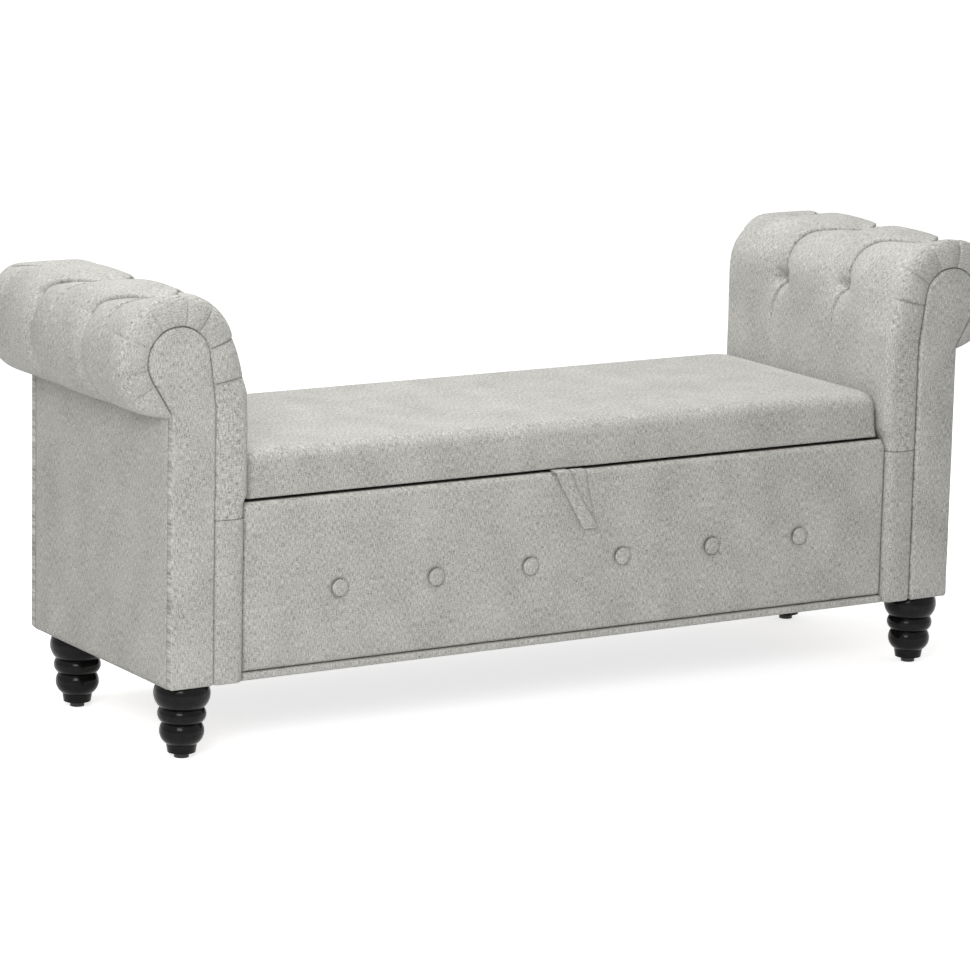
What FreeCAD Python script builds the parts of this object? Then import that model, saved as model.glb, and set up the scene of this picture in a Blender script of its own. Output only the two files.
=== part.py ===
import FreeCAD, Part
import math
import os
import re
import Sketcher
from FreeCAD import Placement, Rotation, Vector

# A rolled-arm storage bench.  Millimetres.  +X runs along the bench, -Y is the front, +Z is up.
# The origin is on the floor under the middle of the bench.

DRIVING = [
    # The whole bench
    ("base_length", 1344, "between the outer sides of the two arms, below the rolls"),
    ("base_depth", 440, "front facing to rear facing"),
    ("leg_height", 106, "floor to the underside of the box"),
    ("box_height", 252, "underside to the top edge of the storage box"),
    ("soft_gap", 0.3, "room left beside an upholstered piece"),
    ("cut_over", 1, "how far a cut runs past the face that it opens"),
    # Arms
    ("arm_width", 118, "inner side to outer side of an arm"),
    ("arm_bulge", 6, "how far the arm pad swells in over the box"),
    ("roll_height", 462, "underside to the middle of the roll"),
    ("roll_inset", 12, "middle of the roll in from the arm's outer side"),
    ("roll_radius", 92, "outside of the padded roll"),
    ("rib_head_radius", 72, "round head of the plywood rib"),
    ("rib_thickness", 15, "plywood rib"),
    ("facing_head_radius", 47, "round head of the scroll facing"),
    ("facing_width", 68, "facing below its head"),
    ("facing_thickness", 14, "upholstered scroll facing"),
    ("facing_knee", 394, "underside to where the facing turns into its head"),
    ("facing_gap", 0.5, "room between the facing and the arm pad"),
    ("band_recess", 4, "arm pad's front edge behind the facing"),
    ("pad_knee", 410, "underside to where the arm pad turns into its roll"),
    ("pad_edge_radius", 12, "rounded edge of the arm pad"),
    ("inner_board", 5, "plywood behind the inner pad"),
    ("outer_board", 3, "hardboard on the arm's outer side"),
    ("outer_cover", 2, "fabric panel on the arm's outer side"),
    ("roll_former", 3, "bent hardboard under the roll's padding"),
    ("mount_rail_width", 45, "rail that the box bolts to, across the arm"),
    ("mount_rail_height", 40, "the same rail, upright"),
    ("lower_rail_rise", 44, "underside to the lower mounting rail"),
    ("upper_rail_drop", 20, "box top down to the upper mounting rail"),
    ("outer_rail_width", 22, "rail behind the outer board"),
    ("outer_rail_height", 40, "the same rail, upright"),
    ("outer_rail_rise", 334, "underside to the outer rail"),
    ("leg_board", 18, "board that takes the leg threads"),
    # Storage box
    ("panel_board", 12, "front and rear panel boards"),
    ("front_panel_recess", 9, "front panel behind the arm facings"),
    ("front_pad_thickness", 15, "padding on the front panel"),
    ("front_pad_edge", 6, "rounded edge of the front padding"),
    ("base_strip", 11, "covered strip under the front panel"),
    ("rear_panel_recess", 7, "rear panel in from the arm facings"),
    ("rear_cover", 3, "padded fabric on the rear panel"),
    ("end_panel", 15, "end panels of the box"),
    ("dust_cover", 1, "cloth under the box"),
    ("dust_cover_inset", 1, "that cloth's edge in from the arms"),
    ("bearer_height", 20, "floor bearers, upright"),
    ("bearer_width", 40, "floor bearers, along the bench"),
    ("bearer_spacing", 350, "between floor bearers"),
    ("storage_floor", 6, "floor of the box"),
    ("lining", 1, "cloth lining in the box"),
    ("lining_drop", 6, "lining's edge below the box top"),
    ("corner_block", 30, "side of a corner block"),
    ("corner_block_gap", 10.3, "corner block's top below the strut bracket"),
    ("hinge_rail_depth", 20, "batten behind the hinges, front to back"),
    ("hinge_rail_height", 30, "the same batten, upright"),
    ("hinge_rail_stop", 39, "batten's end in from the end panel"),
    ("bumper_radius", 4, "rubber bumper under the lid"),
    ("bumper_height", 3.6, "rubber bumper, upright"),
    ("bumper_front_inset", 30, "front bumpers behind the front panel board"),
    ("bumper_rear_inset", 90, "rear bumpers in front of the rear panel board"),
    # Covered buttons on the front panel
    ("button_radius", 12.5, "covered button"),
    ("button_thickness", 5.5, "covered button"),
    ("button_spacing", 159, "between buttons"),
    ("button_rise", 118, "underside to the row of buttons"),
    ("button_seat", 4, "depth of the button's dimple"),
    ("button_edge", 1.8, "rounded edge of a button"),
    # Lid
    ("lid_gap", 4, "between the box top and the lid"),
    ("lid_side_gap", 3, "between the lid and an arm pad"),
    ("lid_front_recess", 20, "lid behind the arm facings"),
    ("lid_board", 12, "plywood of the lid"),
    ("lid_wrap", 5, "padding round the edge of the lid board"),
    ("lid_lining_inset", 10, "lining's edge behind the lid's front"),
    ("seat_thickness", 80, "seat cushion with its board"),
    ("seat_edge_radius", 18, "rounded top edge of the seat"),
    # Legs
    ("leg_side_inset", 39, "leg in from the arm's outer side"),
    ("leg_front_inset", 40.5, "front leg behind the facing"),
    ("leg_rear_inset", 75, "rear leg in front of the rear facing"),
    ("leg_top_radius", 36.5, "leg at its top"),
    ("bulb_arc", 27, "curve of the top bulb"),
    ("bulb_neck_height", 72, "floor to the neck under the bulb"),
    ("bulb_neck_radius", 31, "that neck"),
    ("ring_arc", 14, "curve of the ring under the bulb"),
    ("ring_neck_height", 50.5, "floor to the neck under the ring"),
    ("ring_neck_radius", 27.5, "that neck"),
    ("acorn_arc", 21, "curve of the acorn under the ring"),
    ("acorn_waist_height", 20, "floor to the acorn's waist"),
    ("acorn_waist_radius", 22, "that waist"),
    ("leg_toe_radius", 20, "leg at its lower end"),
    ("glide_radius", 10.5, "plastic glide"),
    ("glide_height", 7.7, "plastic glide"),
    # Bolts and screws
    ("bolt_radius", 4, "M8 bolts"),
    ("bolt_hole_radius", 4.2, "clearance holes for M8"),
    ("thread_gap", 0.05, "between a nut and its bolt"),
    ("bolt_head_radius", 7.5, "hexagon head, across corners"),
    ("bolt_head_height", 5.5, "hexagon head"),
    ("bolt_tail", 2, "bolt past its nut"),
    ("nut_height", 6.5, "hexagon nut"),
    ("bolt_spread", 240, "between the bolts of one rail"),
    ("hanger_depth", 36, "hanger bolt in the leg"),
    ("hanger_tail", 4, "hanger bolt past its plate"),
    ("plate_radius", 10, "threaded plate over the leg"),
    ("plate_thickness", 3, "threaded plate over the leg"),
    ("screw_radius", 1.7, "wood screws"),
    ("screw_head_radius", 3, "wood screws' heads"),
    ("screw_head_height", 0.9, "wood screws' heads"),
    ("screw_length", 10, "wood screws in the wood"),
    # Hinges
    ("hinge_setback", 3.5, "pin in front of the rear facings"),
    ("hinge_spacing", 360, "between hinges"),
    ("hinge_length", 60, "hinge, along its pin"),
    ("hinge_leaf", 1.4, "leaf's thickness"),
    ("hinge_leaf_reach", 33.5, "pin to the leaf's free edge"),
    ("knuckle_radius", 3, "outside of the knuckle"),
    ("knuckle_length", 20, "middle knuckle"),
    ("knuckle_gap", 0.2, "between neighbouring knuckles"),
    ("hinge_gap", 0.5, "between the knuckle and the lid's edge"),
    ("pin_radius", 1.5, "hinge pin"),
    ("pin_gap", 0.06, "between the pin and its knuckles"),
    ("pin_end", 0.6, "pin past the knuckles"),
    ("hinge_screw_spread", 40, "between the screws of one leaf"),
    ("box_screw_reach", 29.5, "pin to the box leaf's screws"),
    ("lid_screw_reach", 18.5, "pin to the lid leaf's screws"),
    # Gas struts
    ("strut_lid_reach", 36.5, "hinge pin forward to the lid pivot"),
    ("strut_lid_drop", 14, "hinge pin down to the lid pivot"),
    ("strut_box_reach", 52.7, "hinge pin forward to the box pivot"),
    ("strut_box_drop", 132.7, "hinge pin down to the box pivot"),
    ("strut_radius", 7.5, "strut cylinder"),
    ("strut_wall", 1.5, "strut cylinder's wall"),
    ("strut_end_wall", 3, "strut cylinder's closed end"),
    ("strut_start", 9, "box pivot to the cylinder's closed end"),
    ("strut_end_gap", 20, "cylinder's mouth to the lid pivot, closed"),
    ("strut_mouth", 4, "guide in the cylinder's mouth"),
    ("rod_radius", 3, "strut rod"),
    ("rod_gap", 0.06, "between the rod or piston and what guides it"),
    ("piston_start", 20, "box pivot to the piston, closed"),
    ("piston_length", 8, "piston"),
    ("eye_radius", 7, "eye at each end of a strut"),
    ("eye_length", 12, "eye, along its stud"),
    ("eye_offset", 10, "eye in from the end panel"),
    ("stud_radius", 4, "bracket stud"),
    ("stud_gap", 0.06, "between the stud and its eye"),
    ("stud_depth", 8, "stud in the eye"),
    ("bracket_thickness", 2, "strut brackets"),
    ("bracket_size", 28, "strut brackets' plates"),
    ("hanger_edge", 6, "lid pivot to the lower edge of its bracket"),
    # Pull strap
    ("strap_width", 25, "ribbon"),
    ("strap_thickness", 1.3, "ribbon"),
    ("strap_depth", 7.3, "loop, front to back"),
    ("strap_reach", 84, "lid down to the strap's fold"),
    ("strap_fold", 4, "height of the fold"),
    ("strap_stand_off", 0.8, "strap in front of the front panel"),
    ("strap_pivot_gap", 1.6, "strap's root in front of the lid"),
    ("strap_join", 3, "seam that joins the two ribbon ends, front to back"),
    ("strap_left", 46, "middle to the far side of the left ribbon end"),
    ("strap_space", 4, "between the two ribbon ends"),
    ("strap_lean", 49, "fold to the right of the left ribbon end"),
]

DERIVED = [
    ("outer_x", "base_length / 2"),
    ("inner_x", "outer_x - arm_width"),
    ("front_y", "-base_depth / 2"),
    ("rear_y", "base_depth / 2"),
    ("soft_bottom", "leg_height + soft_gap"),
    ("box_top", "leg_height + box_height"),
    ("roll_x", "outer_x - roll_inset"),
    ("roll_z", "leg_height + roll_height"),
    ("rib_inner_x", "roll_x - rib_head_radius"),
    ("rib_outer_x", "outer_x - outer_cover - outer_board"),
    ("rib_front_y", "front_y + facing_thickness"),
    ("rib_back_y", "rib_front_y + rib_thickness"),
    ("facing_inner_x", "outer_x - facing_width"),
    ("pad_face_x", "inner_x - arm_bulge"),
    ("lid_half", "pad_face_x - lid_side_gap"),
    ("pin_y", "rear_y - hinge_setback"),
    ("pin_z", "box_top + lid_gap / 2"),
    ("lid_z", "box_top + lid_gap"),
    ("lid_front_y", "front_y + lid_front_recess"),
    ("lid_rear_y", "pin_y - knuckle_radius - hinge_gap"),
    ("panel_front_y", "front_y + front_panel_recess"),
    ("front_board_y", "panel_front_y + front_pad_thickness"),
    ("box_front_y", "front_board_y + panel_board"),
    ("panel_rear_y", "rear_y - rear_panel_recess"),
    ("rear_board_y", "panel_rear_y - rear_cover"),
    ("box_rear_y", "rear_board_y - panel_board"),
    ("panel_half", "inner_x - soft_gap"),
    ("box_half", "inner_x - end_panel"),
    ("bearer_z", "leg_height + dust_cover"),
    ("floor_z", "bearer_z + bearer_height"),
    ("inside_z", "floor_z + storage_floor"),
    ("lower_rail_z", "leg_height + lower_rail_rise"),
    ("upper_rail_z", "box_top - upper_rail_drop - mount_rail_height"),
    ("button_z", "leg_height + button_rise"),
    ("leg_x", "outer_x - leg_side_inset"),
    ("leg_front_y", "front_y + leg_front_inset"),
    ("leg_rear_y", "rear_y - leg_rear_inset"),
    ("box_leaf_z", "box_top + hinge_leaf"),
    ("lid_leaf_z", "lid_z - hinge_leaf"),
    ("eye_x", "box_half - eye_offset"),
    ("lid_pivot_y", "pin_y - strut_lid_reach"),
    ("lid_pivot_z", "pin_z - strut_lid_drop"),
    ("box_pivot_y", "pin_y - strut_box_reach"),
    ("box_pivot_z", "pin_z - strut_box_drop"),
    ("strut_length", "sqrt((lid_pivot_y - box_pivot_y) ^ 2 + (lid_pivot_z - box_pivot_z) ^ 2)"),
    ("strut_lean", "(lid_pivot_y - box_pivot_y) / (lid_pivot_z - box_pivot_z)"),
    ("strap_root_y", "lid_front_y - strap_pivot_gap"),
    ("strap_back_y", "panel_front_y - strap_stand_off"),
    ("strap_front_y", "strap_back_y - strap_depth"),
    ("strap_top_z", "pin_z + strap_thickness"),
    ("strap_fold_z", "pin_z - strap_reach"),
]

doc = FreeCAD.newDocument("StorageBench")
sheet = doc.addObject("Spreadsheet::Sheet", "Sizes")
spare = doc.addObject("Spreadsheet::Sheet", "Spare")


def fill_sheet():
    """Write the driving sizes as plain numbers, then the places worked out from them."""
    for row, (name, number, meaning) in enumerate(DRIVING, start=1):
        sheet.set(f"A{row}", name)
        sheet.set(f"B{row}", str(number))
        sheet.set(f"C{row}", meaning)
        sheet.setAlias(f"B{row}", name)
    for row, (name, sum_text) in enumerate(DERIVED, start=len(DRIVING) + 2):
        sheet.set(f"A{row}", name)
        sheet.set(f"B{row}", "=" + sum_text)
        sheet.setAlias(f"B{row}", name)
    doc.recompute()


fill_sheet()
NAMES = {row[0] for row in DRIVING + DERIVED}
PARTS = []


def formula(text):
    """Put the sheet's name before each of its cells in a formula."""
    def with_sheet(found):
        word = found.group()
        return f"Sizes.{word}" if word in NAMES else word

    return re.sub(r"[a-z]\w*", with_sheet, text)


def size(name):
    """Read one cell of the sheet."""
    return float(sheet.get(name))


def keep(piece, label):
    """Name a finished sub-part; its label names its file."""
    piece.Label = label
    PARTS.append(piece)
    return piece


def bind(piece, **formulas):
    """Bind properties of a piece to the sheet; x, y and z are its place."""
    for name, text in formulas.items():
        path = f"Placement.Base.{name}" if name in "xyz" else name
        piece.setExpression(path, formula(text))


# ---- Primitives ----------------------------------------------------------------------------------

def block(x, y, z):
    """A rectangular block between the given pairs of formulas."""
    piece = doc.addObject("Part::Box", "Block")
    bind(piece, x=x[0], y=y[0], z=z[0])
    bind(piece, Length=f"({x[1]}) - ({x[0]})", Width=f"({y[1]}) - ({y[0]})", Height=f"({z[1]}) - ({z[0]})")
    return piece


TURNS = {"X": Rotation(Vector(0, 1, 0), 90), "Y": Rotation(Vector(1, 0, 0), -90), "Z": Rotation()}


def rod(axis, radius, length, x, y, z):
    """A cylinder along +X, +Y or +Z from the given place."""
    piece = doc.addObject("Part::Cylinder", "Rod")
    piece.Placement = Placement(Vector(), TURNS[axis])
    bind(piece, Radius=radius, Height=length, x=x, y=y, z=z)
    return piece


def hexagon(axis, radius, length, x, y, z):
    """A hexagonal prism along an axis from the given place."""
    piece = doc.addObject("Part::Prism", "Hexagon")
    piece.Polygon = 6
    piece.Placement = Placement(Vector(), TURNS[axis])
    bind(piece, Circumradius=radius, Height=length, x=x, y=y, z=z)
    return piece


def fused(*pieces):
    """One solid from pieces that touch."""
    piece = doc.addObject("Part::MultiFuse", "Fused")
    piece.Shapes = list(pieces)
    return piece


def group(pieces):
    """Several separate solids that make one sub-part."""
    if len(pieces) == 1:
        return pieces[0]
    piece = doc.addObject("Part::Compound", "Group")
    piece.Links = list(pieces)
    return piece


def cut(blank, tools):
    """A blank with holes or notches taken out of it."""
    piece = doc.addObject("Part::Cut", "Cut")
    piece.Base = blank
    piece.Tool = group(tools)
    return piece


def mirrored_x(low, high):
    """The pairs of formulas of a stretch in the right half and of its mirror in the left half."""
    return [(low, high), (f"-({high})", f"-({low})")]


def span(half):
    """A stretch from -half to +half."""
    return (f"-({half})", half)


# ---- Sketches ------------------------------------------------------------------------------------

def new_body(name):
    return doc.addObject("PartDesign::Body", name)


def new_sketch(body, plane, offset):
    """A sketch on one of the body's own planes, moved out along the plane's normal."""
    sketch = body.newObject("Sketcher::SketchObject", "Outline")
    support = next(item for item in body.Origin.OriginFeatures if item.Role == plane)
    sketch.AttachmentSupport = [(support, "")]
    sketch.MapMode = "FlatFace"
    sketch.setExpression("AttachmentOffset.Base.z", formula(offset))
    return sketch


def number(text):
    """Work a formula out, on a spare sheet."""
    spare.set("A1", "=" + formula(text))
    spare.recompute()
    return float(spare.get("A1"))


def pin_down(sketch, kind, geometry, point, text):
    """Hold one coordinate of a point to a formula, measured from the sketch's origin."""
    value = number(text)
    if value >= 0:
        index = sketch.addConstraint(Sketcher.Constraint(kind, -1, 1, geometry, point, value))
        sketch.setExpression(f"Constraints[{index}]", formula(text))
    else:
        index = sketch.addConstraint(Sketcher.Constraint(kind, geometry, point, -1, 1, -value))
        sketch.setExpression(f"Constraints[{index}]", formula(f"-({text})"))


def polygon(sketch, points):
    """A closed outline of straight lines through the given pairs of formulas."""
    corners = [Vector(number(across), number(up), 0) for across, up in points]
    for index, corner in enumerate(corners):
        sketch.addGeometry(Part.LineSegment(corner, corners[(index + 1) % len(corners)]), False)
    for index, (across, up) in enumerate(points):
        sketch.addConstraint(Sketcher.Constraint("Coincident", index, 2, (index + 1) % len(points), 1))
        pin_down(sketch, "DistanceX", index, 1, across)
        pin_down(sketch, "DistanceY", index, 1, up)


def scroll(sketch, radius, inner, outer, knee=None):
    """The scroll outline of a rolled arm, from the underside up.

    A round head of the given radius sits over a straight post.  The post's inner side runs up
    to the knee and from there straight on to the head, or with no knee straight up to the head.
    Either way it meets the head smoothly.
    """
    centre = Vector(size("roll_x"), size("roll_z"), 0)
    head, left, right, bottom = (number(text) for text in (radius, inner, outer, "soft_bottom"))
    low = centre.y - math.sqrt(head ** 2 - (right - centre.x) ** 2)
    bend = Vector(left, number(knee) if knee else centre.y, 0)
    to_bend = bend - centre
    turn = math.atan2(to_bend.y, to_bend.x) % (2 * math.pi)
    if knee:
        turn -= math.acos(head / to_bend.Length)
    touch = centre + Vector(math.cos(turn), math.sin(turn), 0) * head
    start = math.atan2(low - centre.y, right - centre.x)
    foot = Vector(right, bottom, 0)
    sketch.addGeometry(Part.LineSegment(Vector(left, bottom, 0), foot), False)
    sketch.addGeometry(Part.LineSegment(foot, Vector(right, low, 0)), False)
    sketch.addGeometry(Part.ArcOfCircle(Part.Circle(centre, Vector(0, 0, 1), head), start, turn), False)
    if knee:
        sketch.addGeometry(Part.LineSegment(touch, bend), False)
    inner_side = sketch.addGeometry(Part.LineSegment(bend, Vector(left, bottom, 0)), False)
    for line, following in ((0, 1), (1, 2), (inner_side, 0)):
        sketch.addConstraint(Sketcher.Constraint("Coincident", line, 2, following, 1))
    sketch.addConstraint(Sketcher.Constraint("Tangent", 2, 2, 3, 1))
    if knee:
        sketch.addConstraint(Sketcher.Constraint("Coincident", 3, 2, inner_side, 1))
        pin_down(sketch, "DistanceY", 3, 2, knee)
        pin_down(sketch, "DistanceX", 0, 1, inner)
    sketch.addConstraint(Sketcher.Constraint("Horizontal", 0))
    sketch.addConstraint(Sketcher.Constraint("Vertical", 1))
    sketch.addConstraint(Sketcher.Constraint("Vertical", inner_side))
    index = sketch.addConstraint(Sketcher.Constraint("Radius", 2, head))
    sketch.setExpression(f"Constraints[{index}]", formula(radius))
    pin_down(sketch, "DistanceX", 2, 3, "roll_x")
    pin_down(sketch, "DistanceY", 2, 3, "roll_z")
    pin_down(sketch, "DistanceX", 0, 2, outer)
    pin_down(sketch, "DistanceY", 0, 1, "soft_bottom")


def pad(body, sketch, thickness, both_ways=False):
    feature = body.newObject("PartDesign::Pad", "Pad")
    feature.Profile = sketch
    feature.SideType = "Symmetric" if both_ways else "One side"
    feature.setExpression("Length", formula(thickness))
    doc.recompute()
    return feature


def pocket(body, sketch, depth):
    """Cut a sketch out of the body, equally to both sides of the sketch."""
    before = body.Shape.Volume
    feature = body.newObject("PartDesign::Pocket", "Pocket")
    feature.Profile = sketch
    feature.SideType = "Symmetric"
    feature.setExpression("Length", formula(depth))
    doc.recompute()
    if not body.Shape.Volume < before:
        raise RuntimeError(f"{body.Name}: a pocket cuts nothing")
    return feature


def round_edges(body, radius, wanted):
    """Fillet the edges of the body's last feature that the test picks."""
    base = body.Tip
    names = [f"Edge{index}" for index, edge in enumerate(base.Shape.Edges, start=1) if wanted(edge)]
    feature = body.newObject("PartDesign::Fillet", "Fillet")
    feature.Base = (base, names)
    feature.setExpression("Radius", formula(radius))
    doc.recompute()
    return feature


def lies_at(edge, axis, place):
    """Whether an edge lies wholly in the plane across an axis at a place."""
    box = edge.BoundBox
    low, high = getattr(box, axis + "Min"), getattr(box, axis + "Max")
    return abs(low - place) < 0.01 and abs(high - place) < 0.01


# ---- Arms ----------------------------------------------------------------------------------------
# Each arm is modelled as the right arm.  It is alike front and rear, so the left arm is the same
# arm turned half round about the vertical axis, and its front is what would be the right arm's rear.

def keep_arm_piece(piece, side, label):
    """Name a piece of an arm, turned half round if it is the left arm's."""
    if side == "left":
        if piece.TypeId == "Part::Box":
            board = piece
            piece = doc.addObject("Part::Compound", "Turned")
            piece.Links = [board]
        piece.Placement = Placement(Vector(), Rotation(Vector(0, 0, 1), 180))
    keep(piece, f"arm_{side}_{label}")


def arm_slab(side, end, label, outline, thickness, offset):
    """A scroll-shaped slab at one end of an arm; offset is its inner face from the middle."""
    body = new_body(f"Arm_{side}_{end}_{label}")
    towards_front = (end == "front") == (side == "right")
    place = offset if towards_front else f"-({offset}) - ({thickness})"
    sketch = new_sketch(body, "XZ_Plane", place)
    scroll(sketch, *outline)
    pad(body, sketch, thickness)
    keep_arm_piece(body, side, f"{end}_{label}")


def make_rib(side, end):
    outline = ("rib_head_radius", "rib_inner_x", "rib_outer_x")
    arm_slab(side, end, "rib", outline, "rib_thickness", "-rib_back_y")


def make_facing(side, end):
    outline = ("facing_head_radius", "facing_inner_x", "outer_x", "leg_height + facing_knee")
    arm_slab(side, end, "facing", outline, "facing_thickness", "-rib_front_y")


def make_arm_pad(side):
    """The stuffed cover of the inner side and roll, with a band round each end of the arm."""
    body = new_body(f"Arm_{side}_pad")
    outline = new_sketch(body, "XZ_Plane", "0")
    scroll(outline, "roll_radius", "pad_face_x", "outer_x", "leg_height + pad_knee")
    pad(body, outline, "base_depth - 2 * band_recess", both_ways=True)
    end_face = size("rear_y") - size("band_recess")
    flat_edges = (("Z", size("soft_bottom")), ("X", size("outer_x")))

    def goes_round(edge):
        at_end = lies_at(edge, "Y", end_face) or lies_at(edge, "Y", -end_face)
        return at_end and not any(lies_at(edge, axis, place) for axis, place in flat_edges)

    round_edges(body, "pad_edge_radius", goes_round)

    core = new_sketch(body, "XZ_Plane", "0")
    scroll(core, "rib_head_radius + soft_gap", "rib_inner_x - soft_gap", "outer_x + facing_gap")
    pocket(body, core, "2 * (soft_gap - rib_front_y)")

    ends = new_sketch(body, "XZ_Plane", "0")
    scroll(ends, "facing_head_radius + facing_gap", "facing_inner_x - facing_gap", "outer_x + facing_gap",
           "leg_height + facing_knee")
    pocket(body, ends, "base_depth + 2 * cut_over")

    beside_box = new_sketch(body, "XZ_Plane", "0")
    box_edge = "box_top + lid_gap / 2"
    polygon(beside_box, [("pad_face_x - soft_gap", "leg_height"), ("inner_x", "leg_height"),
                         ("inner_x", box_edge), ("pad_face_x - soft_gap", box_edge)])
    pocket(body, beside_box, "base_depth + 2 * cut_over")

    behind_box = new_sketch(body, "XZ_Plane", "0")
    rail_edge = "upper_rail_z + mount_rail_height + soft_gap"
    polygon(behind_box, [("inner_x - soft_gap", "leg_height"), ("outer_x", "leg_height"),
                         ("outer_x", rail_edge), ("inner_x - soft_gap", rail_edge)])
    pocket(body, behind_box, "2 * (soft_gap - rib_back_y)")

    keep_arm_piece(body, side, "pad")


def make_roll_former(side):
    """Bent hardboard between the ribs' heads, from the inner board over to the outer side."""
    from_rib = ("-2 * rib_back_y", "roll_x", "rib_back_y", "roll_z")
    ring = cut(rod("Y", "rib_head_radius", *from_rib),
               [rod("Y", "rib_head_radius - roll_former", *from_rib)])
    below = block(("rib_inner_x - cut_over", "rib_outer_x"), span("-rib_back_y + cut_over"),
                  ("roll_z - rib_head_radius - cut_over", "roll_z"))
    keep_arm_piece(cut(ring, [below]), side, "roll_former")


def make_arm_boards(side):
    between_ribs = span("-rib_back_y")
    outside_ribs = span("-rib_front_y")
    inner = block(("rib_inner_x", "rib_inner_x + inner_board"), between_ribs,
                  ("upper_rail_z + mount_rail_height", "roll_z"))
    outer_top = "roll_z - sqrt(rib_head_radius ^ 2 - (rib_outer_x - roll_x) ^ 2)"
    outer = block(("rib_outer_x", "rib_outer_x + outer_board"), outside_ribs, ("leg_height", outer_top))
    cover = block(("outer_x - outer_cover", "outer_x"), outside_ribs, ("soft_bottom", outer_top))
    for piece, label in ((inner, "inner_board"), (outer, "outer_board"), (cover, "outer_cover")):
        keep_arm_piece(piece, side, label)


def bolt_places():
    """The y and z of the bolts between the box and an arm."""
    rails = ("lower_rail_z + mount_rail_height / 2", "upper_rail_z + mount_rail_height / 2")
    return [(y, z) for y in ("-bolt_spread / 2", "bolt_spread / 2") for z in rails]


def bolt_holes(low, high):
    through = f"({high}) - ({low}) + 2 * cut_over"
    return [rod("X", "bolt_hole_radius", through, f"({low}) - cut_over", y, z) for y, z in bolt_places()]


def make_arm_rails(side):
    """Two mounting rails that the box bolts to, and a rail behind the outer board."""
    across = ("inner_x", "inner_x + mount_rail_width")
    between_ribs = span("-rib_back_y")
    rails = []
    for bottom in ("lower_rail_z", "upper_rail_z"):
        blank = block(across, between_ribs, (bottom, f"{bottom} + mount_rail_height"))
        middle = f"{bottom} + mount_rail_height / 2"
        holes = [rod("X", "bolt_hole_radius", "mount_rail_width + 2 * cut_over", "inner_x - cut_over",
                     y, middle) for y in ("-bolt_spread / 2", "bolt_spread / 2")]
        rails.append(cut(blank, holes))
    rise = "leg_height + outer_rail_rise"
    rails.append(block(("rib_outer_x - outer_rail_width", "rib_outer_x"), between_ribs,
                       (rise, f"{rise} + outer_rail_height")))
    keep_arm_piece(group(rails), side, "rails")


def leg_places(side):
    """The x and y of the legs under one arm."""
    x = "leg_x" if side == "right" else "-leg_x"
    return {"front": (x, "leg_front_y"), "rear": (x, "leg_rear_y")}


def make_leg_board(side):
    x = ("rib_inner_x", "rib_outer_x") if side == "right" else ("-rib_outer_x", "-rib_inner_x")
    blank = block(x, span("-rib_back_y"), ("leg_height", "leg_height + leg_board"))
    holes = [rod("Z", "bolt_hole_radius", "leg_board + 2 * cut_over", across, back, "leg_height - cut_over")
             for across, back in leg_places(side).values()]
    keep(cut(blank, holes), f"arm_{side}_leg_board")


# ---- Legs ----------------------------------------------------------------------------------------

def make_leg(side, end):
    """A turned leg: bulb, ring and acorn, with a blind hole for its hanger bolt."""
    body = new_body(f"Leg_{end}_{side}")
    sketch = new_sketch(body, "XZ_Plane", "0")
    profile = [("bolt_radius", "leg_height"), ("leg_top_radius", "leg_height"),
               ("bulb_neck_radius", "bulb_neck_height"), ("ring_neck_radius", "ring_neck_height"),
               ("acorn_waist_radius", "acorn_waist_height"), ("leg_toe_radius", "glide_height"),
               ("bolt_radius", "glide_height")]
    arcs = {1: "bulb_arc", 2: "ring_arc", 3: "acorn_arc"}
    corners = [Vector(number(across), number(up), 0) for across, up in profile]
    for index, corner in enumerate(corners):
        following = corners[(index + 1) % len(corners)]
        if index not in arcs:
            sketch.addGeometry(Part.LineSegment(corner, following), False)
            continue
        radius = number(arcs[index])
        chord = following - corner
        outwards = Vector(-chord.y, chord.x, 0).normalize()
        rise = math.sqrt(radius ** 2 - (chord.Length / 2) ** 2)
        centre = (corner + following) * 0.5 - outwards * rise
        first = math.atan2(following.y - centre.y, following.x - centre.x)
        last = math.atan2(corner.y - centre.y, corner.x - centre.x)
        circle = Part.Circle(centre, Vector(0, 0, 1), radius)
        sketch.addGeometry(Part.ArcOfCircle(circle, first, last), False)
        held = sketch.addConstraint(Sketcher.Constraint("Radius", index, radius))
        sketch.setExpression(f"Constraints[{held}]", formula(arcs[index]))
    for index, (across, up) in enumerate(profile):
        following = (index + 1) % len(profile)
        last_point = 1 if index in arcs else 2
        first_point = 2 if following in arcs else 1
        sketch.addConstraint(Sketcher.Constraint("Coincident", index, last_point, following, first_point))
        start_point = 2 if index in arcs else 1
        pin_down(sketch, "DistanceX", index, start_point, across)
        pin_down(sketch, "DistanceY", index, start_point, up)
    turned = body.newObject("PartDesign::Revolution", "Turned")
    turned.Profile = sketch
    turned.ReferenceAxis = (sketch, ["V_Axis"])
    turned.Angle = 360
    doc.recompute()
    core = new_sketch(body, "XZ_Plane", "0")
    past_bore = "bolt_radius + cut_over"
    polygon(core, [("0", "glide_height"), (past_bore, "glide_height"),
                   (past_bore, "leg_height - hanger_depth"), ("0", "leg_height - hanger_depth")])
    filled = body.newObject("PartDesign::Revolution", "Core")
    filled.Profile = core
    filled.ReferenceAxis = (core, ["V_Axis"])
    filled.Angle = 360
    doc.recompute()
    x, y = leg_places(side)[end]
    bind(body, x=x, y=y)
    keep(body, f"leg_{end}_{side}")


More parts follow.
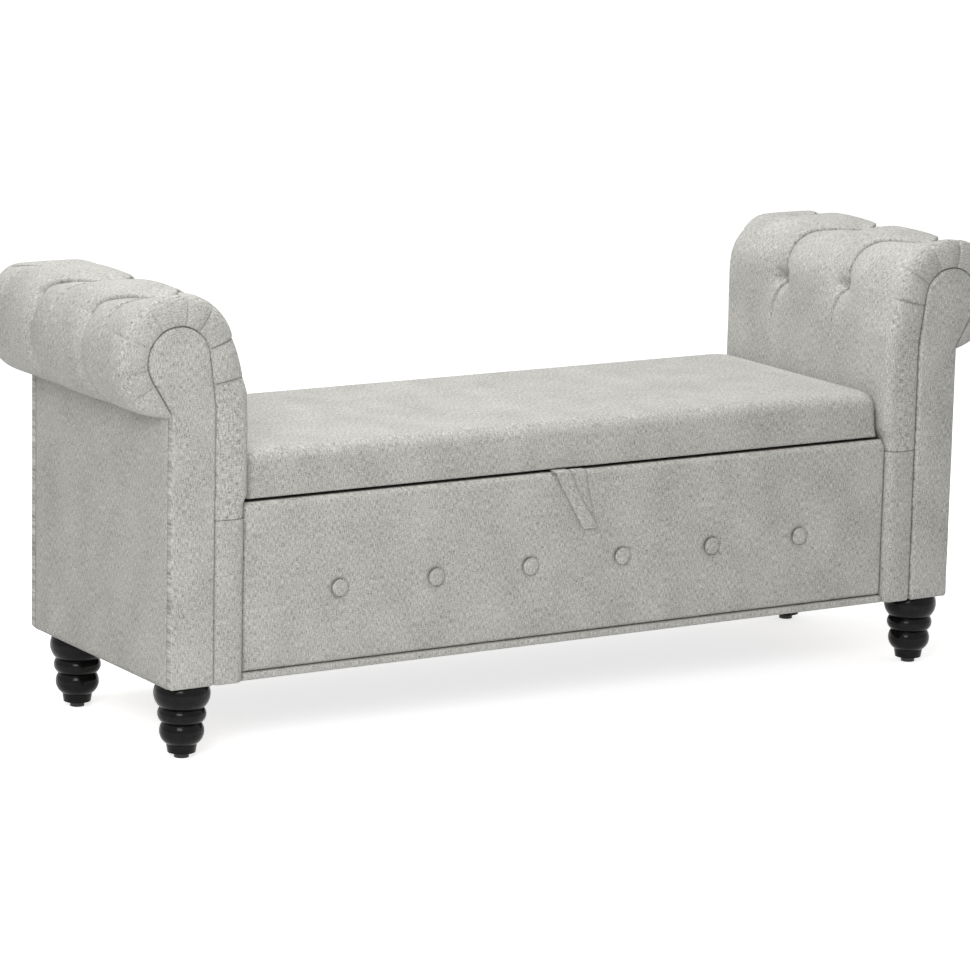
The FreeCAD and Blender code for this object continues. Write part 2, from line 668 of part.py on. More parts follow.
def make_leg_fixings():
    """Hanger bolts in the legs, threaded plates over the leg boards, and glides under the legs."""
    bolts, plates, glides = [], [], []
    plate_z = "leg_height + leg_board"
    for side in ("left", "right"):
        for x, y in leg_places(side).values():
            bolts.append(rod("Z", "bolt_radius", "hanger_depth + leg_board + plate_thickness + hanger_tail",
                             x, y, "leg_height - hanger_depth"))
            thread = rod("Z", "bolt_radius + thread_gap", "plate_thickness + 2 * cut_over", x, y,
                         f"{plate_z} - cut_over")
            plates.append(cut(rod("Z", "plate_radius", "plate_thickness", x, y, plate_z), [thread]))
            glides.append(rod("Z", "glide_radius", "glide_height", x, y, "0"))
    keep(group(bolts), "leg_hanger_bolts")
    keep(group(plates), "leg_thread_plates")
    keep(group(glides), "leg_glides")


# ---- Storage box ---------------------------------------------------------------------------------

def button_places():
    return [f"button_spacing * {step}" for step in (-2.5, -1.5, -0.5, 0.5, 1.5, 2.5)]


def make_front_panel():
    above_strip = "leg_height + base_strip"
    keep(block(span("panel_half"), ("front_board_y", "box_front_y"), (above_strip, "box_top")),
         "front_panel_board")
    keep(block(span("panel_half"), ("panel_front_y", "box_front_y"), ("leg_height", above_strip)),
         "front_base_strip")
    blank = block(span("panel_half"), ("panel_front_y", "front_board_y"),
                  (f"{above_strip} + soft_gap", "box_top"))
    rounded = doc.addObject("Part::Fillet", "Rounded")
    rounded.Base = blank
    doc.recompute()
    radius = size("front_pad_edge")
    rounded.Edges = [(index, radius, radius) for index, edge in enumerate(blank.Shape.Edges, start=1)
                     if lies_at(edge, "Y", size("panel_front_y"))]
    seats = [rod("Y", "button_radius + soft_gap", "button_seat + cut_over", x, "panel_front_y - cut_over",
                 "button_z") for x in button_places()]
    keep(cut(rounded, seats), "front_panel_pad")
    buttons = []
    for x in button_places():
        disc = rod("Y", "button_radius", "button_thickness", x,
                   "panel_front_y + button_seat - button_thickness", "button_z")
        doc.recompute()
        domed = doc.addObject("Part::Fillet", "Domed")
        domed.Base = disc
        front = size("panel_front_y") + size("button_seat") - size("button_thickness")
        edge_radius = size("button_edge")
        domed.Edges = [(index, edge_radius, edge_radius)
                       for index, edge in enumerate(disc.Shape.Edges, start=1) if lies_at(edge, "Y", front)]
        buttons.append(domed)
    keep(group(buttons), "front_panel_buttons")


def make_rear_panel():
    across = span("panel_half")
    board = block(across, ("box_rear_y", "rear_board_y"), ("leg_height", "box_top"))
    cover = block(across, ("rear_board_y", "panel_rear_y"), ("soft_bottom", "box_top"))
    keep(board, "rear_panel_board")
    keep(cover, "rear_panel_cover")
    blank = block(span("box_half - hinge_rail_stop"), ("box_rear_y - hinge_rail_depth", "box_rear_y"),
                  ("box_top - hinge_rail_height", "box_top"))
    pilots = [rod("Z", "screw_radius", "screw_length + cut_over", x, "pin_y - box_screw_reach",
                  "box_top - screw_length") for x in hinge_screw_places()]
    keep(cut(blank, pilots), "hinge_rail")


def make_box():
    front_to_back = ("box_front_y", "box_rear_y")
    ends = [cut(block(x, front_to_back, ("bearer_z", "box_top")), bolt_holes(*x))
            for x in mirrored_x("box_half", "inner_x")]
    keep(group(ends), "box_end_panels")
    keep(block(span("box_half"), front_to_back, ("floor_z", "inside_z")), "storage_floor")
    bearers = []
    for step in (-1, 0, 1):
        middle = f"bearer_spacing * {step}"
        across = (f"{middle} - bearer_width / 2", f"{middle} + bearer_width / 2")
        bearers.append(block(across, front_to_back, ("bearer_z", "floor_z")))
    keep(group(bearers), "floor_bearers")
    keep(block(span("inner_x - dust_cover_inset"), front_to_back, ("leg_height", "bearer_z")), "dust_cover")
    block_top = "box_pivot_z - bracket_size / 2 - corner_block_gap"
    corners = (("box_front_y", "box_front_y + corner_block"), ("box_rear_y - corner_block", "box_rear_y"))
    blocks = [block(x, y, ("inside_z", block_top))
              for x in mirrored_x("box_half - corner_block", "box_half") for y in corners]
    keep(group(blocks), "corner_blocks")


def make_lining():
    """Cloth on the floor and walls of the box, between the corner blocks."""
    clear = "box_half - corner_block - soft_gap"
    floor_top = "inside_z + lining"
    top = "box_top - lining_drop"
    rear_top = "box_top - hinge_rail_height - soft_gap"
    sheets = [
        block(span(clear), ("box_front_y + lining + soft_gap", "box_rear_y - lining - soft_gap"),
              ("inside_z", floor_top)),
        block(span(clear), ("box_front_y", "box_front_y + lining"), ("inside_z", top)),
        block(span(clear), ("box_rear_y - lining", "box_rear_y"), ("inside_z", rear_top)),
    ]
    strut_side = "box_pivot_y - bracket_size / 2 - lining"
    for x in mirrored_x("box_half - lining", "box_half"):
        blank = block(x, ("box_front_y + corner_block + soft_gap", strut_side), ("inside_z", top))
        sheets.append(cut(blank, bolt_holes(*x)))
    keep(group(sheets), "box_lining")


def make_arm_bolts():
    """Bolts from inside the box through its ends into the arms' mounting rails, and their nuts."""
    bolts, nuts = [], []
    head_face = "box_half - lining"
    nut_face = "inner_x + mount_rail_width"
    shank = f"({nut_face}) - ({head_face}) + nut_height + bolt_tail"
    for y, z in bolt_places():
        for side in (1, -1):
            head_start = f"{head_face} - bolt_head_height" if side == 1 else f"-({head_face})"
            shank_start = head_face if side == 1 else f"-({head_face}) - ({shank})"
            nut_start = nut_face if side == 1 else f"-({nut_face}) - nut_height"
            bolts.append(fused(hexagon("X", "bolt_head_radius", "bolt_head_height", head_start, y, z),
                               rod("X", "bolt_radius", shank, shank_start, y, z)))
            thread = rod("X", "bolt_radius + thread_gap", "nut_height + 2 * cut_over",
                         f"{nut_start} - cut_over", y, z)
            nuts.append(cut(hexagon("X", "bolt_head_radius", "nut_height", nut_start, y, z), [thread]))
    keep(group(bolts), "arm_bolts")
    keep(group(nuts), "arm_bolt_nuts")


def make_bumpers():
    """Rubber bumpers on the end panels' top edges, which the closed lid rests on."""
    middle = "box_half + bumper_radius + soft_gap"
    bumpers = [rod("Z", "bumper_radius", "bumper_height", x, y, "box_top")
               for x in (middle, f"-({middle})")
               for y in ("box_front_y + bumper_front_inset", "box_rear_y - bumper_rear_inset")]
    keep(group(bumpers), "lid_bumpers")


# ---- Lid -----------------------------------------------------------------------------------------

def make_lid():
    board_x = span("lid_half - lid_wrap")
    board_y = ("lid_front_y + lid_wrap", "lid_rear_y - lid_wrap")
    pilots = [rod("Z", "screw_radius", "screw_length + cut_over", x, "pin_y - lid_screw_reach",
                  "lid_z - cut_over") for x in hinge_screw_places()]
    keep(cut(block(board_x, board_y, ("lid_z", "lid_z + lid_board")), pilots), "lid_board")

    body = new_body("Seat")
    outline = new_sketch(body, "XY_Plane", "lid_z")
    polygon(outline, [("-lid_half", "lid_front_y"), ("lid_half", "lid_front_y"),
                      ("lid_half", "lid_rear_y"), ("-lid_half", "lid_rear_y")])
    pad(body, outline, "seat_thickness")
    top = size("lid_z") + size("seat_thickness")
    round_edges(body, "seat_edge_radius", lambda edge: edge.BoundBox.ZMax > top - 0.01)
    recess = new_sketch(body, "XY_Plane", "lid_z")
    room = "lid_half - lid_wrap + soft_gap"
    front, back = "lid_front_y + lid_wrap - soft_gap", "lid_rear_y - lid_wrap + soft_gap"
    polygon(recess, [(f"-({room})", front), (room, front), (room, back), (f"-({room})", back)])
    pocket(body, recess, "2 * (lid_board + soft_gap)")
    keep(body, "seat_cushion")

    lining_rear = "pin_y - hinge_leaf_reach - lining"
    keep(block(span("box_half - hinge_rail_stop"), ("lid_front_y + lid_lining_inset", lining_rear),
               ("lid_z - lining", "lid_z")), "lid_lining")


def make_strap():
    """A ribbon whose two ends go up under the lid side by side and whose loop hangs in a fold."""
    left = "-strap_left"
    right = "strap_width + strap_space - strap_left"
    fold = "strap_lean - strap_left"
    under_fold = "strap_fold_z - strap_fold"
    plies = []
    for start, height, face in ((left, "pin_z", "strap_back_y"),
                                (right, "strap_top_z", "strap_front_y + strap_thickness")):
        body = new_body("Ply")
        sketch = new_sketch(body, "XZ_Plane", f"-({face})")
        polygon(sketch, [(start, height), (fold, under_fold), (f"{fold} + strap_width", under_fold),
                         (f"{start} + strap_width", height)])
        pad(body, sketch, "strap_thickness")
        plies.append(body)
        plies.append(block((start, f"{start} + strap_width"), (f"{face} - strap_thickness", "strap_root_y"),
                           (f"{height} - strap_thickness", height)))
    plies.append(block((fold, f"{fold} + strap_width"), ("strap_front_y", "strap_back_y"),
                       (under_fold, "strap_fold_z")))
    plies.append(block((left, f"{right} + strap_width"), ("strap_root_y - strap_join", "strap_root_y"),
                       ("pin_z - strap_thickness", "strap_top_z")))
    keep(fused(*plies), "pull_strap")


# ---- Hinges --------------------------------------------------------------------------------------

def hinge_places():
    return [f"hinge_spacing * {step}" for step in (-1, 0, 1)]


def hinge_screw_places():
    return [f"{x} {sign} hinge_screw_spread / 2" for x in hinge_places() for sign in "-+"]


def knuckle(start, length):
    """One knuckle along the pin, before its bore."""
    return rod("X", "knuckle_radius", length, start, "pin_y", "pin_z")


def leaf(x, z, screw_reach, knuckles):
    """A hinge leaf: a plate with screw holes and the knuckles that its tabs carry."""
    plate_edge = "pin_y - knuckle_radius - hinge_gap"
    pieces = [block((f"{x} - hinge_length / 2", f"{x} + hinge_length / 2"),
                    ("pin_y - hinge_leaf_reach", plate_edge), z)]
    for start, length in knuckles:
        pieces.append(block((start, f"{start} + ({length})"), (plate_edge, "pin_y"), z))
        pieces.append(knuckle(start, length))
    holes = [rod("X", "pin_radius + pin_gap", "hinge_length + 2 * cut_over",
                 f"{x} - hinge_length / 2 - cut_over", "pin_y", "pin_z")]
    for sign in "-+":
        screw_x = f"{x} {sign} hinge_screw_spread / 2"
        holes.append(rod("Z", "screw_radius + pin_gap", "hinge_leaf + 2 * cut_over", screw_x,
                         f"pin_y - {screw_reach}", f"{z[0]} - cut_over"))
    return cut(fused(*pieces), holes)


def make_hinges():
    box_leaves, lid_leaves, pins = [], [], []
    outer_length = "(hinge_length - knuckle_length) / 2 - knuckle_gap"
    for x in hinge_places():
        outer = [(f"{x} - hinge_length / 2", outer_length),
                 (f"{x} + knuckle_length / 2 + knuckle_gap", outer_length)]
        box_leaves.append(leaf(x, ("box_top", "box_leaf_z"), "box_screw_reach", outer))
        lid_leaves.append(leaf(x, ("lid_leaf_z", "lid_z"), "lid_screw_reach",
                               [(f"{x} - knuckle_length / 2", "knuckle_length")]))
        pins.append(rod("X", "pin_radius", "hinge_length + 2 * pin_end", f"{x} - hinge_length / 2 - pin_end",
                        "pin_y", "pin_z"))
    keep(group(box_leaves), "hinge_box_leaves")
    keep(group(lid_leaves), "hinge_lid_leaves")
    keep(group(pins), "hinge_pins")
    box_screws, lid_screws = [], []
    for x in hinge_screw_places():
        for screws, reach, head_z, tip_z in (
                (box_screws, "box_screw_reach", "box_leaf_z", "box_top - screw_length"),
                (lid_screws, "lid_screw_reach", "lid_leaf_z - screw_head_height", "lid_leaf_z")):
            head = rod("Z", "screw_head_radius", "screw_head_height", x, f"pin_y - {reach}", head_z)
            shank = rod("Z", "screw_radius", "screw_length + hinge_leaf", x, f"pin_y - {reach}", tip_z)
            screws.append(fused(head, shank))
    keep(group(box_screws), "hinge_box_screws")
    keep(group(lid_screws), "hinge_lid_screws")


# ---- Gas struts ----------------------------------------------------------------------------------
# A strut is modelled upright from its box pivot, then leaned over to its lid pivot.

def lean(piece, side):
    x = "eye_x" if side == "right" else "-eye_x"
    piece.Placement = Placement(Vector(), Rotation(Vector(1, 0, 0), 0))
    piece.setExpression("Placement.Rotation.Angle", formula("-atan(strut_lean)"))
    bind(piece, x=x, y="box_pivot_y", z="box_pivot_z")


def make_strut(side):
    """The cylinder turns on the box bracket's stud; the rod slides in it up to the lid bracket."""
    mouth = "strut_length - strut_end_gap"
    stud_start = "eye_length / 2 - stud_depth" if side == "right" else "-eye_length / 2 - cut_over"
    body = fused(rod("Z", "strut_radius", f"{mouth} - strut_start", "0", "0", "strut_start"),
                 rod("X", "eye_radius", "eye_length", "-eye_length / 2", "0", "0"),
                 rod("Z", "rod_radius", "strut_start", "0", "0", "eye_radius / 2"))
    cylinder = cut(body, [
        rod("Z", "strut_radius - strut_wall", f"{mouth} - strut_mouth - strut_start - strut_end_wall",
            "0", "0", "strut_start + strut_end_wall"),
        rod("Z", "rod_radius + rod_gap", "strut_mouth + 2 * cut_over", "0", "0",
            f"{mouth} - strut_mouth - cut_over"),
        rod("X", "stud_radius + stud_gap", "stud_depth + cut_over", stud_start, "0", "0"),
    ])
    lean(cylinder, side)
    keep(cylinder, f"strut_{side}_cylinder")
    rod_length = "strut_length - piston_start - eye_radius / 2"
    shaft = fused(rod("Z", "strut_radius - strut_wall - rod_gap", "piston_length", "0", "0", "piston_start"),
                  rod("Z", "rod_radius", rod_length, "0", "0", "piston_start"),
                  rod("X", "eye_radius", "eye_length", "-eye_length / 2", "0", "strut_length"))
    lean(shaft, side)
    keep(shaft, f"strut_{side}_rod")


def make_strut_brackets():
    """Plates on the end panels and angles under the lid, each with a stud towards its strut."""
    box_brackets, lid_brackets = [], []
    half = "bracket_size / 2"
    eye_face = "eye_x + eye_length / 2"
    plate_x = ("box_half - bracket_thickness", "box_half")
    hanger_x = (f"{eye_face} + soft_gap", f"{eye_face} + soft_gap + bracket_thickness")
    for side in (1, -1):
        def across(pair):
            return pair if side == 1 else (f"-({pair[1]})", f"-({pair[0]})")
        plate = block(across(plate_x), (f"box_pivot_y - {half}", f"box_pivot_y + {half}"),
                      (f"box_pivot_z - {half}", f"box_pivot_z + {half}"))
        stud = across((f"{eye_face} - stud_depth + soft_gap", "box_half - bracket_thickness"))
        box_brackets.append(fused(plate, rod("X", "stud_radius", f"({stud[1]}) - ({stud[0]})", stud[0],
                                             "box_pivot_y", "box_pivot_z")))
        hanger_y = (f"lid_pivot_y - {half}", f"lid_pivot_y + {half}")
        hanger = block(across(hanger_x), hanger_y, ("lid_pivot_z - hanger_edge", "lid_z"))
        foot_x = across((f"{hanger_x[0]} - bracket_size", hanger_x[1]))
        foot = block(foot_x, hanger_y, ("lid_z - bracket_thickness", "lid_z"))
        lid_brackets.append(fused(hanger, foot))
    keep(group(box_brackets), "strut_box_brackets")
    keep(group(lid_brackets), "strut_lid_brackets")


# ---- The whole bench -----------------------------------------------------------------------------

for arm in ("left", "right"):
    for arm_end in ("front", "rear"):
        make_rib(arm, arm_end)
        make_facing(arm, arm_end)
        make_leg(arm, arm_end)
    make_arm_pad(arm)
    make_roll_former(arm)
    make_arm_boards(arm)
    make_arm_rails(arm)
    make_leg_board(arm)
    make_strut(arm)
make_leg_fixings()
make_front_panel()
make_rear_panel()
make_box()
make_lining()
make_arm_bolts()
make_bumpers()
make_lid()
make_strap()
make_hinges()
make_strut_brackets()
doc.removeObject(spare.Name)
doc.recompute()

for item in doc.Objects:
    if "Invalid" in item.State or "Error" in item.State:
        raise RuntimeError(f"{item.Name} ({item.Label}): {item.State}")
for item in PARTS:
    if item.Shape.isNull() or not item.Shape.isValid() or not item.Shape.Solids:
        raise RuntimeError(f"{item.Label}: bad shape")

os.makedirs("parts", exist_ok=True)
for item in PARTS:
    item.Shape.exportStep(os.path.join("parts", item.Label + ".step"))
print(len(PARTS), "sub-parts")
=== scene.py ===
from math import acos, atan2, cos, degrees, hypot, pi, radians, sin

import bpy
import numpy as np
from mathutils import Matrix, Vector


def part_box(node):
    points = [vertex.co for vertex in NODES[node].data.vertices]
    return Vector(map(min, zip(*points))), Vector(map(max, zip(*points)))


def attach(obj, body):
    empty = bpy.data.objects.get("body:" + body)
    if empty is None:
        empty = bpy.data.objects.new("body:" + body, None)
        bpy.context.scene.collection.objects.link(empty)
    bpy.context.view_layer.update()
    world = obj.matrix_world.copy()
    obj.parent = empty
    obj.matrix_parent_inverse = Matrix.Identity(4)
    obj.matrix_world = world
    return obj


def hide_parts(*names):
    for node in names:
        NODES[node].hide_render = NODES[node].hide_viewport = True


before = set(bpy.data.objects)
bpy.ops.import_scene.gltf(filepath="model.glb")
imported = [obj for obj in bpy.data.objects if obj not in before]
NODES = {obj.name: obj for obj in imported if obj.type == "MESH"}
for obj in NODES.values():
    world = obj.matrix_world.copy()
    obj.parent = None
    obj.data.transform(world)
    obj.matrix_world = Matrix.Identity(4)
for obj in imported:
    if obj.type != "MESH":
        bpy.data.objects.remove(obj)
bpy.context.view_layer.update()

# Finish of a rolled-arm storage bench: tufted linen upholstery, lacquered legs, linings and hardware.
# Metres.  +X runs along the bench, -Y is the front, +Z is up.  Arms are shaped as the right arm and
# mirrored for the left.

SIDES = ("left", "right")
MM = 0.001
CLEAR = 0.3 * MM
FABRIC = "upholstery_fabric"


# ---- Places taken from the frame ----

RIB_LOW, RIB_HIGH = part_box("arm_right_front_rib")
FACING_LOW, FACING_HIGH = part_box("arm_right_front_facing")
PAD_LOW, PAD_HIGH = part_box("arm_right_pad")
PANEL_LOW, PANEL_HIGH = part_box("front_panel_pad")
SEAT_LOW, SEAT_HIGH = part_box("seat_cushion")
BUTTONS_LOW, BUTTONS_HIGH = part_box("front_panel_buttons")

RIB_RADIUS = (RIB_HIGH.x - RIB_LOW.x) / 2
ROLL_X = (RIB_LOW.x + RIB_HIGH.x) / 2
ROLL_Z = RIB_HIGH.z - RIB_RADIUS
ROLL_RADIUS = PAD_HIGH.x - ROLL_X
FACING_RADIUS = FACING_HIGH.x - ROLL_X
OUTER_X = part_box("arm_right_outer_cover")[1].x
BAND_Y = PAD_LOW.y
INNER_X = PANEL_HIGH.x + CLEAR
FACE_X = PAD_LOW.x
SEAM_Z = PANEL_HIGH.z - 18 * MM


# ---- Materials ----

def new_material(name):
    """A material with only a Principled shader and its output."""
    material = bpy.data.materials.new(name)
    material.use_nodes = True
    return material, material.node_tree, material.node_tree.nodes["Principled BSDF"]


def feed(tree, node, inputs):
    """Set a node's inputs; a value that is a socket becomes a link."""
    for name, value in inputs.items():
        if isinstance(value, bpy.types.NodeSocket):
            tree.links.new(value, node.inputs[name])
        else:
            node.inputs[name].default_value = value


def add(tree, kind, inputs=None, **settings):
    """A new shader node with its settings and inputs."""
    node = tree.nodes.new(kind)
    for name, value in settings.items():
        setattr(node, name, value)
    feed(tree, node, inputs or {})
    return node


def sums(tree, operation, first, second):
    return add(tree, "ShaderNodeMath", {0: first, 1: second}, operation=operation).outputs[0]


def blend(tree, first, share, second, other_share):
    """Two values added, each multiplied by its own share."""
    return sums(tree, "ADD", sums(tree, "MULTIPLY", first, share), sums(tree, "MULTIPLY", second, other_share))


def scaled(tree, vector, scale):
    return add(tree, "ShaderNodeMapping", {"Vector": vector, "Scale": scale}).outputs[0]


def noise_of(tree, vector, scale=1.0, detail=2.0, roughness=0.5):
    inputs = {"Vector": vector, "Scale": scale, "Detail": detail, "Roughness": roughness}
    return add(tree, "ShaderNodeTexNoise", inputs).outputs["Fac"]


def ramp(tree, factor, *stops):
    """A colour ramp; each stop is a position and a colour."""
    node = add(tree, "ShaderNodeValToRGB", {"Fac": factor})
    elements = node.color_ramp.elements
    while len(elements) < len(stops):
        elements.new(0.5)
    for element, (position, colour) in zip(elements, stops):
        element.position = position
        element.color = (*colour, 1)
    return node.outputs["Color"]


def multiplied(tree, first, second, share):
    """Two colours multiplied, the second at a share of its strength."""
    node = add(tree, "ShaderNodeMix", data_type="RGBA", blend_type="MULTIPLY")
    node.inputs["Factor"].default_value = share
    colours = [socket for socket in node.inputs if socket.type == "RGBA"]
    tree.links.new(first, colours[0])
    tree.links.new(second, colours[1])
    return next(socket for socket in node.outputs if socket.type == "RGBA")


def bump(tree, height, distance, strength):
    inputs = {"Height": height, "Distance": distance, "Strength": strength}
    return add(tree, "ShaderNodeBump", inputs).outputs["Normal"]


def place_of(tree):
    return add(tree, "ShaderNodeTexCoord").outputs["Object"]


def linen():
    """Heathered slub linen: dashes of lighter and darker yarn both ways over a fine plain weave."""
    material, tree, shader = new_material("linen")
    along = add(tree, "ShaderNodeUVMap", uv_map="weave").outputs["UV"]
    weft = noise_of(tree, scaled(tree, along, (190, 900, 1)), roughness=0.6)
    warp = noise_of(tree, scaled(tree, along, (900, 130, 1)), roughness=0.6)
    yarn = blend(tree, weft, 0.4, warp, 0.6)
    cloud = noise_of(tree, scaled(tree, along, (16, 11, 1)), detail=3.0)
    fleck = noise_of(tree, scaled(tree, along, (430, 400, 1)), detail=1.0)
    base = ramp(tree, blend(tree, yarn, 0.88, cloud, 0.12), (0.37, (0.24, 0.237, 0.22)),
                (0.50, (0.495, 0.487, 0.457)), (0.62, (0.69, 0.682, 0.652)))
    flecked = ramp(tree, fleck, (0.27, (0.45, 0.44, 0.42)), (0.38, (1, 1, 1)))
    threads, picks = (
        add(tree, "ShaderNodeTexWave", {"Vector": scaled(tree, along, stretch), "Scale": 1.0},
            bands_direction=way).outputs["Fac"]
        for way, stretch in (("X", (330, 0, 0)), ("Y", (0, 330, 0))))
    weave = blend(tree, threads, picks, yarn, 3.0)
    feed(tree, shader, {"Base Color": multiplied(tree, base, flecked, 0.85), "Roughness": 0.92,
                        "Specular IOR Level": 0.2, "Sheen Weight": 0.10, "Sheen Roughness": 0.5,
                        "Normal": bump(tree, weave, 0.4 * MM, 0.45)})
    return material


def lacquer():
    """Black gloss lacquer over turned wood, with a soft orange-peel and rubbed high spots."""
    material, tree, shader = new_material("black_lacquer")
    place = place_of(tree)
    wear = noise_of(tree, place, scale=90, detail=4)
    patches = noise_of(tree, place, scale=45, detail=3)
    feed(tree, shader, {"Base Color": ramp(tree, wear, (0.35, (0.004,) * 3), (0.75, (0.009,) * 3)),
                        "Roughness": ramp(tree, patches, (0.3, (0.12,) * 3), (0.7, (0.20,) * 3)),
                        "Specular IOR Level": 0.13,
                        "Normal": bump(tree, noise_of(tree, place, scale=350, detail=1), 0.1 * MM, 0.25)})
    return material


def timber(name, light, dark, ring, stretch):
    """Sawn timber with grain along its length."""
    material, tree, shader = new_material(name)
    place = scaled(tree, place_of(tree), stretch)
    warped = noise_of(tree, place, scale=ring, detail=6, roughness=0.65)
    fibre = noise_of(tree, place, scale=ring * 9, detail=3)
    grain = blend(tree, warped, 0.75, fibre, 0.25)
    feed(tree, shader, {"Base Color": ramp(tree, grain, (0.35, dark), (0.62, light)), "Roughness": 0.72,
                        "Normal": bump(tree, grain, 0.3 * MM, 0.4)})
    return material


def metal(name, colour, rough, metallic=1.0):
    """Plated or painted steel with fine scratches and faint patches."""
    material, tree, shader = new_material(name)
    place = place_of(tree)
    patch = noise_of(tree, place, scale=140, detail=4)
    scratches = noise_of(tree, scaled(tree, place, (40, 900, 900)))
    shade = tuple(part * 0.8 for part in colour)
    finish = ramp(tree, scratches, (0.3, (rough * 0.75,) * 3), (0.7, (rough * 1.2,) * 3))
    feed(tree, shader, {"Base Color": ramp(tree, patch, (0.35, shade), (0.65, colour)), "Roughness": finish,
                        "Metallic": metallic, "Normal": bump(tree, patch, 0.05 * MM, 0.3)})
    return material


def nonwoven():
    """Black non-woven lining cloth with its pressed dots and loose fibres."""
    material, tree, shader = new_material("nonwoven_cloth")
    place = place_of(tree)
    dots = add(tree, "ShaderNodeTexVoronoi", {"Vector": place, "Scale": 550.0}).outputs["Distance"]
    fibres = noise_of(tree, place, scale=700, detail=3)
    colour = ramp(tree, fibres, (0.3, (0.022, 0.022, 0.024)), (0.7, (0.055, 0.055, 0.06)))
    feed(tree, shader, {"Base Color": colour, "Roughness": 0.95,
                        "Normal": bump(tree, sums(tree, "ADD", dots, fibres), 0.2 * MM, 0.5)})
    return material


def moulded(name, colour, rough):
    """Moulded rubber or plastic with a fine matt grain."""
    material, tree, shader = new_material(name)
    place = place_of(tree)
    scuffed = noise_of(tree, place, scale=120, detail=4)
    light = tuple(part * 1.6 for part in colour)
    feed(tree, shader, {"Base Color": ramp(tree, scuffed, (0.4, colour), (0.75, light)), "Roughness": rough,
                        "Normal": bump(tree, noise_of(tree, place, scale=900), 0.1 * MM, 0.4)})
    return material


LINEN = linen()
CLOTH = nonwoven()
LINING = {"material": CLOTH, "slot": "lining_cloth"}


# ---- Meshes ----

def in_scene(name, data):
    """A new object in the scene."""
    thing = bpy.data.objects.new(name, data)
    bpy.context.scene.collection.objects.link(thing)
    return thing


def face_outwards(mesh):
    """Turn a closed mesh's faces outwards."""
    mesh.calc_loop_triangles()
    places = np.zeros(len(mesh.vertices) * 3)
    mesh.vertices.foreach_get("co", places)
    corners = np.zeros(len(mesh.loop_triangles) * 3, dtype=np.int32)
    mesh.loop_triangles.foreach_get("vertices", corners)
    a, b, c = places.reshape(-1, 3)[corners.reshape(-1, 3)].transpose(1, 0, 2)
    if np.einsum("ij,ij->i", a, np.cross(b, c)).sum() < 0:
        mesh.flip_normals()


def lay_weave(mesh, places):
    """Set the weave's coordinates, in metres, from one pair for each vertex."""
    layer = mesh.uv_layers.new(name="weave")
    corners = np.zeros(len(mesh.loops), dtype=np.int32)
    mesh.loops.foreach_get("vertex_index", corners)
    layer.data.foreach_set("uv", np.asarray(places, dtype=np.float32)[corners].ravel())


def lay_weave_by_side(mesh):
    """Set the weave's coordinates of each face from the two axes that it mostly lies along."""
    layer = mesh.uv_layers.new(name="weave")
    for face in mesh.polygons:
        across = max(range(3), key=lambda axis: abs(face.normal[axis]))
        u, v = [(1, 2), (0, 2), (0, 1)][across]
        for corner in face.loop_indices:
            place = mesh.vertices[mesh.loops[corner].vertex_index].co
            layer.data[corner].uv = (place[u] + across, place[v])


def mesh_piece(name, points, faces, weave=None, material=LINEN, body="base", slot=FABRIC, replaces=()):
    """A smooth-shaded closed piece in the frame, riding on a body and standing for CAD nodes."""
    mesh = bpy.data.meshes.new(name)
    mesh.from_pydata([tuple(point) for point in points], [], faces)
    mesh.polygons.foreach_set("use_smooth", [True] * len(mesh.polygons))
    mesh.validate()
    mesh.materials.append(material)
    face_outwards(mesh)
    if weave is None:
        lay_weave_by_side(mesh)
    else:
        lay_weave(mesh, weave)
    piece = in_scene(name, mesh)
    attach(piece, body)
    if replaces:
        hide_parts(*replaces)
    return piece


def eased(share):
    """A share from 0 to 1 with a soft start and end."""
    share = np.clip(share, 0, 1)
    return share * share * (3 - 2 * share)


def bell(away, width):
    """A soft bump: 1 at its middle, and little beyond its width."""
    return np.exp(-(away / width) ** 2)


def round_off(share):
    """How far a round edge falls back: 1 at the edge, and 0 from a share of 1 on."""
    return 1 - np.sqrt(1 - (1 - np.clip(share, 0, 1)) ** 2)


def travelled(line):
    """The way from a line's start to each of its points."""
    return np.concatenate([[0], np.cumsum(np.linalg.norm(np.diff(line, axis=0), axis=1))])


def along_line(points, spacing):
    """Points at even spacing along a polyline."""
    points = np.asarray(points, dtype=float)
    ways = travelled(points)
    places = np.linspace(0, ways[-1], max(2, int(round(ways[-1] / spacing)) + 1))
    return np.stack([np.interp(places, ways, points[:, axis]) for axis in range(points.shape[1])], axis=1)


def arc(centre, radius, first, last, count):
    """Points of an arc in the XZ plane, from one angle to another in degrees."""
    turn = np.radians(np.linspace(first, last, count))
    return np.stack([centre[0] + radius * np.cos(turn), centre[1] + radius * np.sin(turn)], axis=1)


def ripple(first, second, size, seed):
    """A smooth unevenness in metres over two arrays of places, the same on every run."""
    random = np.random.default_rng(seed)
    total = np.zeros(np.broadcast(first, second).shape)
    for _ in range(6):
        turn, phase = random.uniform(0, pi), random.uniform(0, 2 * pi)
        wave = random.uniform(0.05, 0.16)
        place = first * cos(turn) + second * sin(turn)
        total = total + np.sin(place * 2 * pi / wave + phase)
    return total * size / 6


# ---- Arm outline ----
# An outline is walked from the seam beside the seat, up the inner face, over the roll and down to
# the tuck under it.  "Height" is the way walked above the knee, where the face turns into the roll.

ROLL_CENTRE = np.array([ROLL_X, ROLL_Z])
ARM_FOOT = PAD_LOW.z
KNEE_Z = 0.516
SHELF_Z = 0.360
TUCK_RADIUS = ROLL_RADIUS - 9 * MM
TUCK_ANGLE = -degrees(acos((OUTER_X - ROLL_X) / TUCK_RADIUS))


